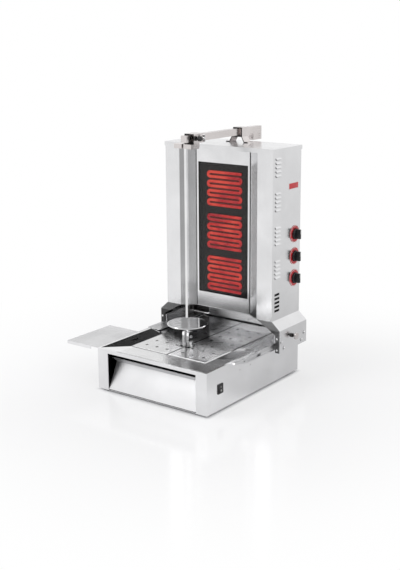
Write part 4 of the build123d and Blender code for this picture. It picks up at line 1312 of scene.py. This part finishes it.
@dataclass(frozen=True)
class HolderScrews:
    """Clamp knob and wing screw in the side of the skewer holder.

    Attributes:
        stem: Radius of both stems.
        knob_length: Length of the clamp knob's head.
        flutes: Grooves of that head.
        groove: Depth of a groove.
        knob_edge: Chamfer of that head.
        hub: Radius of the wing screw's hub.
        hub_length: Length of that hub.
        hub_edge: Rounding of that hub.
        wing: Thickness of a wing.
        wing_edge: Rounding of a wing.
        taper: Share of a wing's thickness that is left at its tip.
    """

    stem: float = 3.0 * MM
    knob_length: float = 13.0 * MM
    flutes: int = 10
    groove: float = 0.9 * MM
    knob_edge: float = 1.5 * MM
    hub: float = 5.0 * MM
    hub_length: float = 10.0 * MM
    hub_edge: float = 0.8 * MM
    wing: float = 3.0 * MM
    wing_edge: float = 1.3 * MM
    taper: float = 0.7

    def build(self, palette: Palette) -> None:
        """Makes both screws.

        Args:
            palette: Finishes of the grill.
        """
        low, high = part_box("clamp_knob")
        shoulder = high[0] - self.knob_length
        start = shoulder - low[0]
        knob = Piece("clamp_grip")
        knob.rod(self.stem, 0.0, start)
        knob.fluted((high[1] - low[1]) / 2, start, self.knob_length, self.flutes, self.groove,
                    self.knob_edge)
        knob.lay(on_the_side(low, high))
        knob.finish(palette.plastic, "clamp", "black_plastic", "clamp_knob")

        low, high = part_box("wing_screw")
        reach = high[0] - low[0]
        span = high[2] - low[2]
        start = shoulder - low[0]
        screw = Piece("wing_grip")
        screw.rod(self.stem, 0.0, start)
        screw.rod(self.hub, start, self.hub_length, self.hub_edge)
        for side in (1.0, -1.0):
            screw.block((self.wing, span / 2, reach - start), (0.0, side * span / 4, start), self.wing_edge,
                        self.taper)
        screw.lay(on_the_side(low, high))
        screw.finish(palette.bright, "wing", "bright_steel", "wing_screw")


@dataclass(frozen=True)
class BracketGuards:
    """Small folded sheets on the rear gussets, which close the view past the splash skirt; their dark
    finish is painted shade that stands for the shade under the tower.

    Attributes:
        sheet: Thickness of a guard.
        clear: Gap over the rail and beside its clamp strip.
        strip: Height and thickness of that strip, which stands on the rail.
        lap: How far a guard lies on the gusset.
        lip: Depth of the lips folded forward along its foot and beside the strip.
        flange: Width of the gusset's upright part.
        gusset: Thickness of the gusset.
        inset: How far a guard stays inside the bracket's outline.
    """

    sheet: float = 1.2 * MM
    clear: float = 2.0 * MM
    strip: Span = (26.0 * MM, 4.0 * MM)
    lap: float = 5.0 * MM
    lip: float = 14.0 * MM
    flange: float = 18.0 * MM
    gusset: float = 2.0 * MM
    inset: float = 0.5 * MM

    def build(self, palette: Palette) -> None:
        """Makes both guards.

        Args:
            palette: Finishes of the grill.
        """
        low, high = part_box("bracket_right")
        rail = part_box("rail_right")[1]
        over_strip = rail[2] + self.clear
        foot = over_strip - self.strip[0]
        beside_strip = rail[0] - self.strip[1] - self.clear
        inner = low[0] + self.inset
        outer = high[0] - self.flange
        top = high[2] - self.inset
        edge = self.sheet / 4
        outline = ((inner, foot), (beside_strip, foot), (beside_strip, over_strip), (outer, over_strip),
                   (outer, over_strip + self.lap), (inner + self.lap, top), (inner, top))
        place = Matrix.Translation((0.0, high[1] - self.gusset, 0.0)) @ Matrix.Rotation(math.pi / 2, 4, "X")
        for name, side in (("left", -1.0), ("right", 1.0)):
            guard = Piece(f"bracket_guard_{name}")
            guard.plate([(side * across, rise) for across, rise in outline], self.sheet, edge)
            guard.block((beside_strip - inner, self.sheet, self.lip),
                        (side * (inner + beside_strip) / 2, foot + self.sheet / 2, 0.0), edge)
            guard.block((self.sheet, over_strip - foot, self.lip),
                        (side * (beside_strip - self.sheet / 2), (foot + over_strip) / 2, 0.0), edge)
            guard.lay(place)
            guard.finish(palette.guard, "tower", "sheet_steel")


@dataclass(frozen=True)
class PhotoCamera:
    """Camera at the photograph's viewing angle.

    Attributes:
        place: Where it stands, in metres.
        yaw: Turn to the left of straight ahead, in degrees.
        pitch: Tilt below the horizon, in degrees.
        focal: Focal length in pixels of the image.
        centre: Pixel that the lens axis meets.
        image: Width and height of the image in pixels.
        reach: How far it sees, in metres.
    """

    place: Point = (2.141, -2.853, 1.304)
    yaw: float = 35.09
    pitch: float = 13.04
    focal: float = 982.2
    centre: Span = (230.0, 258.0)
    image: tuple[int, int] = (400, 570)
    reach: float = 100.0

    def build(self) -> None:
        """Makes the camera and gives it to the scene."""
        width, height = self.image
        data = bpy.data.cameras.new("photo_camera")
        data.lens = self.focal / height * data.sensor_width
        data.shift_x = (width / 2 - self.centre[0]) / height
        data.shift_y = (self.centre[1] - height / 2) / height
        data.clip_end = self.reach
        camera = bpy.data.objects.new("photo_camera", data)
        camera.location = self.place
        camera.rotation_euler = (math.radians(90.0 - self.pitch), 0.0, math.radians(self.yaw))
        bpy.context.scene.collection.objects.link(camera)
        bpy.context.scene.camera = camera


@dataclass(frozen=True)
class SoftBox:
    """One square studio lamp.

    Attributes:
        name: Name of the lamp.
        place: Where it hangs, in metres.
        size: Length of its side.
        power: Its power, in watts.
        aim: Point that it faces.
    """

    name: str
    place: Point
    size: float
    power: float
    aim: Point = (0.0, 0.0, 0.4)

    def build(self) -> None:
        """Makes the lamp."""
        data = bpy.data.lights.new(self.name, "AREA")
        data.size = self.size
        data.energy = self.power
        lamp = bpy.data.objects.new(self.name, data)
        lamp.location = self.place
        lamp.rotation_euler = (Vector(self.aim) - lamp.location).to_track_quat("-Z", "Y").to_euler()
        bpy.context.scene.collection.objects.link(lamp)


@dataclass(frozen=True)
class Studio:
    """Pale floor, white surroundings with a few darker fields, and soft lamps.

    A field lies towards a direction. Its spread says how far towards it a field begins and is full, its
    reach does so for distances on the floor in metres, and its rise for degrees above the horizon. A tone
    is the brightness that a reflection meets, 1 on white.

    Attributes:
        floor_size: Side of the floor.
        floor_colour: Colour of the floor.
        floor_gloss: Roughness of the floor.
        floor_mirror: Specular level of the floor.
        floor_edge: Width of the dark line round the base.
        floor_far: Distance from the base at which the floor is white.
        floor_white: Share of white just outside that line.
        camera_side: Towards the camera, with the tone, spread and reach on the floor and spread in the sky.
        right_rear: Towards the right rear, with the spread, reach and tones near and far on the floor.
        flag_side: Towards a small black flag at the left rear, with its spread, rise and tone.
        left_front: Towards the left front, with the spread, rise and tone of what is low there.
        ceiling_rise: Where the ceiling begins and is full, with its tone.
        lamps: The lamps.
    """

    floor_size: float = 40.0
    floor_colour: Colour = (0.93, 0.93, 0.94)
    floor_gloss: float = 0.12
    floor_mirror: float = 0.4
    floor_edge: float = 0.02
    floor_far: float = 1.15
    floor_white: float = 0.5
    camera_side: Point = (0.6, -0.8, 0.0)
    camera_tone: float = 0.42
    camera_floor_spread: Span = (0.5, 0.9)
    camera_floor_reach: Span = (0.65, 1.3)
    camera_sky_spread: Span = (0.35, 0.9)
    right_rear: Point = (0.6, 0.8, 0.0)
    right_spread: Span = (0.2, 0.7)
    right_reach: Span = (0.5, 2.6)
    right_tones: Span = (0.6, 0.84)
    flag_side: Point = (-0.62, 0.785, 0.0)
    flag_spread: Span = (0.862, 0.885)
    flag_rise: Span = (19.5, 22.0)
    flag_tone: float = 0.03
    left_front: Point = (-0.6, -0.8, 0.0)
    left_spread: Span = (0.45, 0.8)
    left_rise: Span = (18.0, 25.0)
    left_tone: float = 0.42
    ceiling_rise: Span = (42.0, 66.0)
    ceiling_tone: Colour = (0.58, 0.58, 0.59)
    lamps: tuple[SoftBox, ...] = (
        SoftBox("key_lamp", (-1.9, -2.3, 2.7), size=2.2, power=45.0),
        SoftBox("fill_lamp", (2.6, -1.0, 2.6), size=2.0, power=16.0),
    )

    def build(self) -> None:
        """Makes the whole stage."""
        self._floor()
        self._world()
        for lamp in self.lamps:
            lamp.build()
        PhotoCamera().build()
        bpy.context.scene.view_settings.view_transform = "Standard"

    @staticmethod
    def _unless_seen(shader: ShaderTree, tone: Socket) -> Socket:
        """Keeps a tone for reflections and gives white where the camera looks straight at it."""
        seen = shader.add("ShaderNodeLightPath").outputs["Is Camera Ray"]
        return shader.maths("MAXIMUM", tone, seen)

    @staticmethod
    def _climb(shader: ShaderTree, up: Socket, rise: Span, low: float = 0.0, high: float = 1.0) -> Socket:
        """Eases from low to high while a direction climbs.

        Args:
            shader: Tree that the nodes go into.
            up: Rise of the direction, 1 straight up.
            rise: Degrees at which the change begins and ends.
            low: Result below them.
            high: Result above them.

        Returns:
            The eased output.
        """
        start, end = (math.sin(math.radians(angle)) for angle in rise)
        return shader.step(up, start, end, low, high)

    def _floor_tone(self, shader: ShaderTree, place: Socket) -> Socket:
        """Gives the brightness of the floor that a reflection meets.

        Args:
            shader: Tree that the nodes go into.
            place: Point on the floor.

        Returns:
            1 where it is white, less towards the camera and towards the right rear.
        """
        distance = shader.length(place)
        way = shader.vector("NORMALIZE", place).outputs["Vector"]
        near, far = self.right_tones
        share = shader.step(shader.towards(way, self.right_rear), *self.right_spread)
        loss = shader.step(distance, *self.right_reach, 1.0 - near, 1.0 - far)
        right = shader.maths("MULTIPLY", share, loss)
        share = shader.step(shader.towards(way, self.camera_side), *self.camera_floor_spread)
        loss = shader.step(distance, *self.camera_floor_reach, 0.0, 1.0 - self.camera_tone)
        both = shader.maths("ADD", right, shader.maths("MULTIPLY", share, loss))
        return self._unless_seen(shader, shader.remainder(both))

    def _sky_tone(self, shader: ShaderTree, way: Socket, up: Socket) -> Socket:
        """Gives the brightness of the surroundings that a reflection meets.

        Args:
            shader: Tree that the nodes go into.
            way: Direction of the reflection.
            up: Its rise, 1 straight up.

        Returns:
            1 where they are white, less towards the camera and low at the left front, and next to nothing
            on the flag at the left rear.
        """
        near = shader.towards(way, self.camera_side)
        tone = shader.step(near, *self.camera_sky_spread, 1.0, self.camera_tone)
        share = shader.step(shader.towards(way, self.flag_side), *self.flag_spread)
        loss = self._climb(shader, up, self.flag_rise, 0.0, 1.0 - self.flag_tone)
        tone = shader.maths("SUBTRACT", tone, shader.maths("MULTIPLY", share, loss))
        share = shader.step(shader.towards(way, self.left_front), *self.left_spread)
        loss = self._climb(shader, up, self.left_rise, 1.0 - self.left_tone, 0.0)
        tone = shader.maths("SUBTRACT", tone, shader.maths("MULTIPLY", share, loss))
        return self._unless_seen(shader, tone)

    def _floor_fade(self, shader: ShaderTree, place: Socket) -> Socket:
        """Gives how far the floor has turned plain white, from the base outwards.

        Args:
            shader: Tree that the nodes go into.
            place: Point on the floor.

        Returns:
            0 at the base, a first share of white just outside it, and 1 far off.
        """
        corner = (*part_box("base_floor")[1][:2], 0.0)
        mirrored = shader.vector("ABSOLUTE", place).outputs["Vector"]
        over = shader.vector("SUBTRACT", mirrored, corner).outputs["Vector"]
        beside = shader.length(shader.vector("MAXIMUM", over, (0.0, 0.0, 0.0)).outputs["Vector"])
        first = shader.step(beside, 0.0, self.floor_edge, 0.0, self.floor_white)
        rest = shader.step(beside, self.floor_edge, self.floor_far, 0.0, 1.0 - self.floor_white)
        return shader.maths("ADD", first, rest)

    def _floor(self) -> None:
        """Makes the floor: pale and faintly glossy near the grill, plain white far off."""
        mesh = bmesh.new()
        bmesh.ops.create_grid(mesh, x_segments=1, y_segments=1, size=self.floor_size / 2)
        data = bpy.data.meshes.new("floor")
        mesh.to_mesh(data)
        mesh.free()
        floor = bpy.data.objects.new("floor", data)
        bpy.context.scene.collection.objects.link(floor)
        material = bpy.data.materials.new("pale_floor")
        material.use_nodes = True
        data.materials.append(material)
        shader = ShaderTree(material.node_tree)
        surface = material.node_tree.nodes["Principled BSDF"]
        surface.inputs["Base Color"].default_value = (*self.floor_colour, 1.0)
        surface.inputs["Roughness"].default_value = self.floor_gloss
        surface.inputs["Specular IOR Level"].default_value = self.floor_mirror
        place = shader.add("ShaderNodeTexCoord").outputs["Object"]
        white = shader.add("ShaderNodeEmission", Color=(1.0, 1.0, 1.0, 1.0))
        shader.link(self._floor_tone(shader, place), white.inputs["Strength"])
        path = shader.add("ShaderNodeLightPath").outputs
        seen = shader.maths("MAXIMUM", path["Is Camera Ray"], path["Is Glossy Ray"])
        seen = shader.maths("MAXIMUM", seen, path["Is Transmission Ray"])
        blend = shader.add("ShaderNodeMixShader")
        shader.link(shader.maths("MULTIPLY", self._floor_fade(shader, place), seen), blend.inputs["Fac"])
        shader.link(surface.outputs["BSDF"], blend.inputs[1])
        shader.link(white.outputs["Emission"], blend.inputs[2])
        shader.link(blend.outputs["Shader"], material.node_tree.nodes["Material Output"].inputs["Surface"])

    def _world(self) -> None:
        """Makes the surroundings: white, with darker fields and a grey ceiling for the steel to reflect."""
        world = bpy.data.worlds.new("studio")
        bpy.context.scene.world = world
        world.use_nodes = True
        shader = ShaderTree(world.node_tree)
        direction = shader.add("ShaderNodeTexCoord").outputs["Generated"]
        up = shader.axes(direction)[2]
        overhead = self._climb(shader, up, self.ceiling_rise)
        background = world.node_tree.nodes["Background"]
        shader.link(shader.tint(overhead, ((1.0, 1.0, 1.0), self.ceiling_tone)), background.inputs["Color"])
        shader.link(self._sky_tone(shader, direction, up), background.inputs["Strength"])


def main() -> None:
    """Dresses the grill, adds its small pieces and sets it in the studio."""
    logging.basicConfig(level=logging.INFO, format="%(name)s: %(message)s")
    palette = Palette()
    Dressing(palette).apply()
    for level in ("upper", "middle", "lower"):
        ControlKnob(level).build(palette)
    for pieces in (RockerMarks(), BarePlate(), HolderScrews(), BracketGuards()):
        pieces.build(palette)
    Studio().build()


if __name__ == "__main__":
    main()
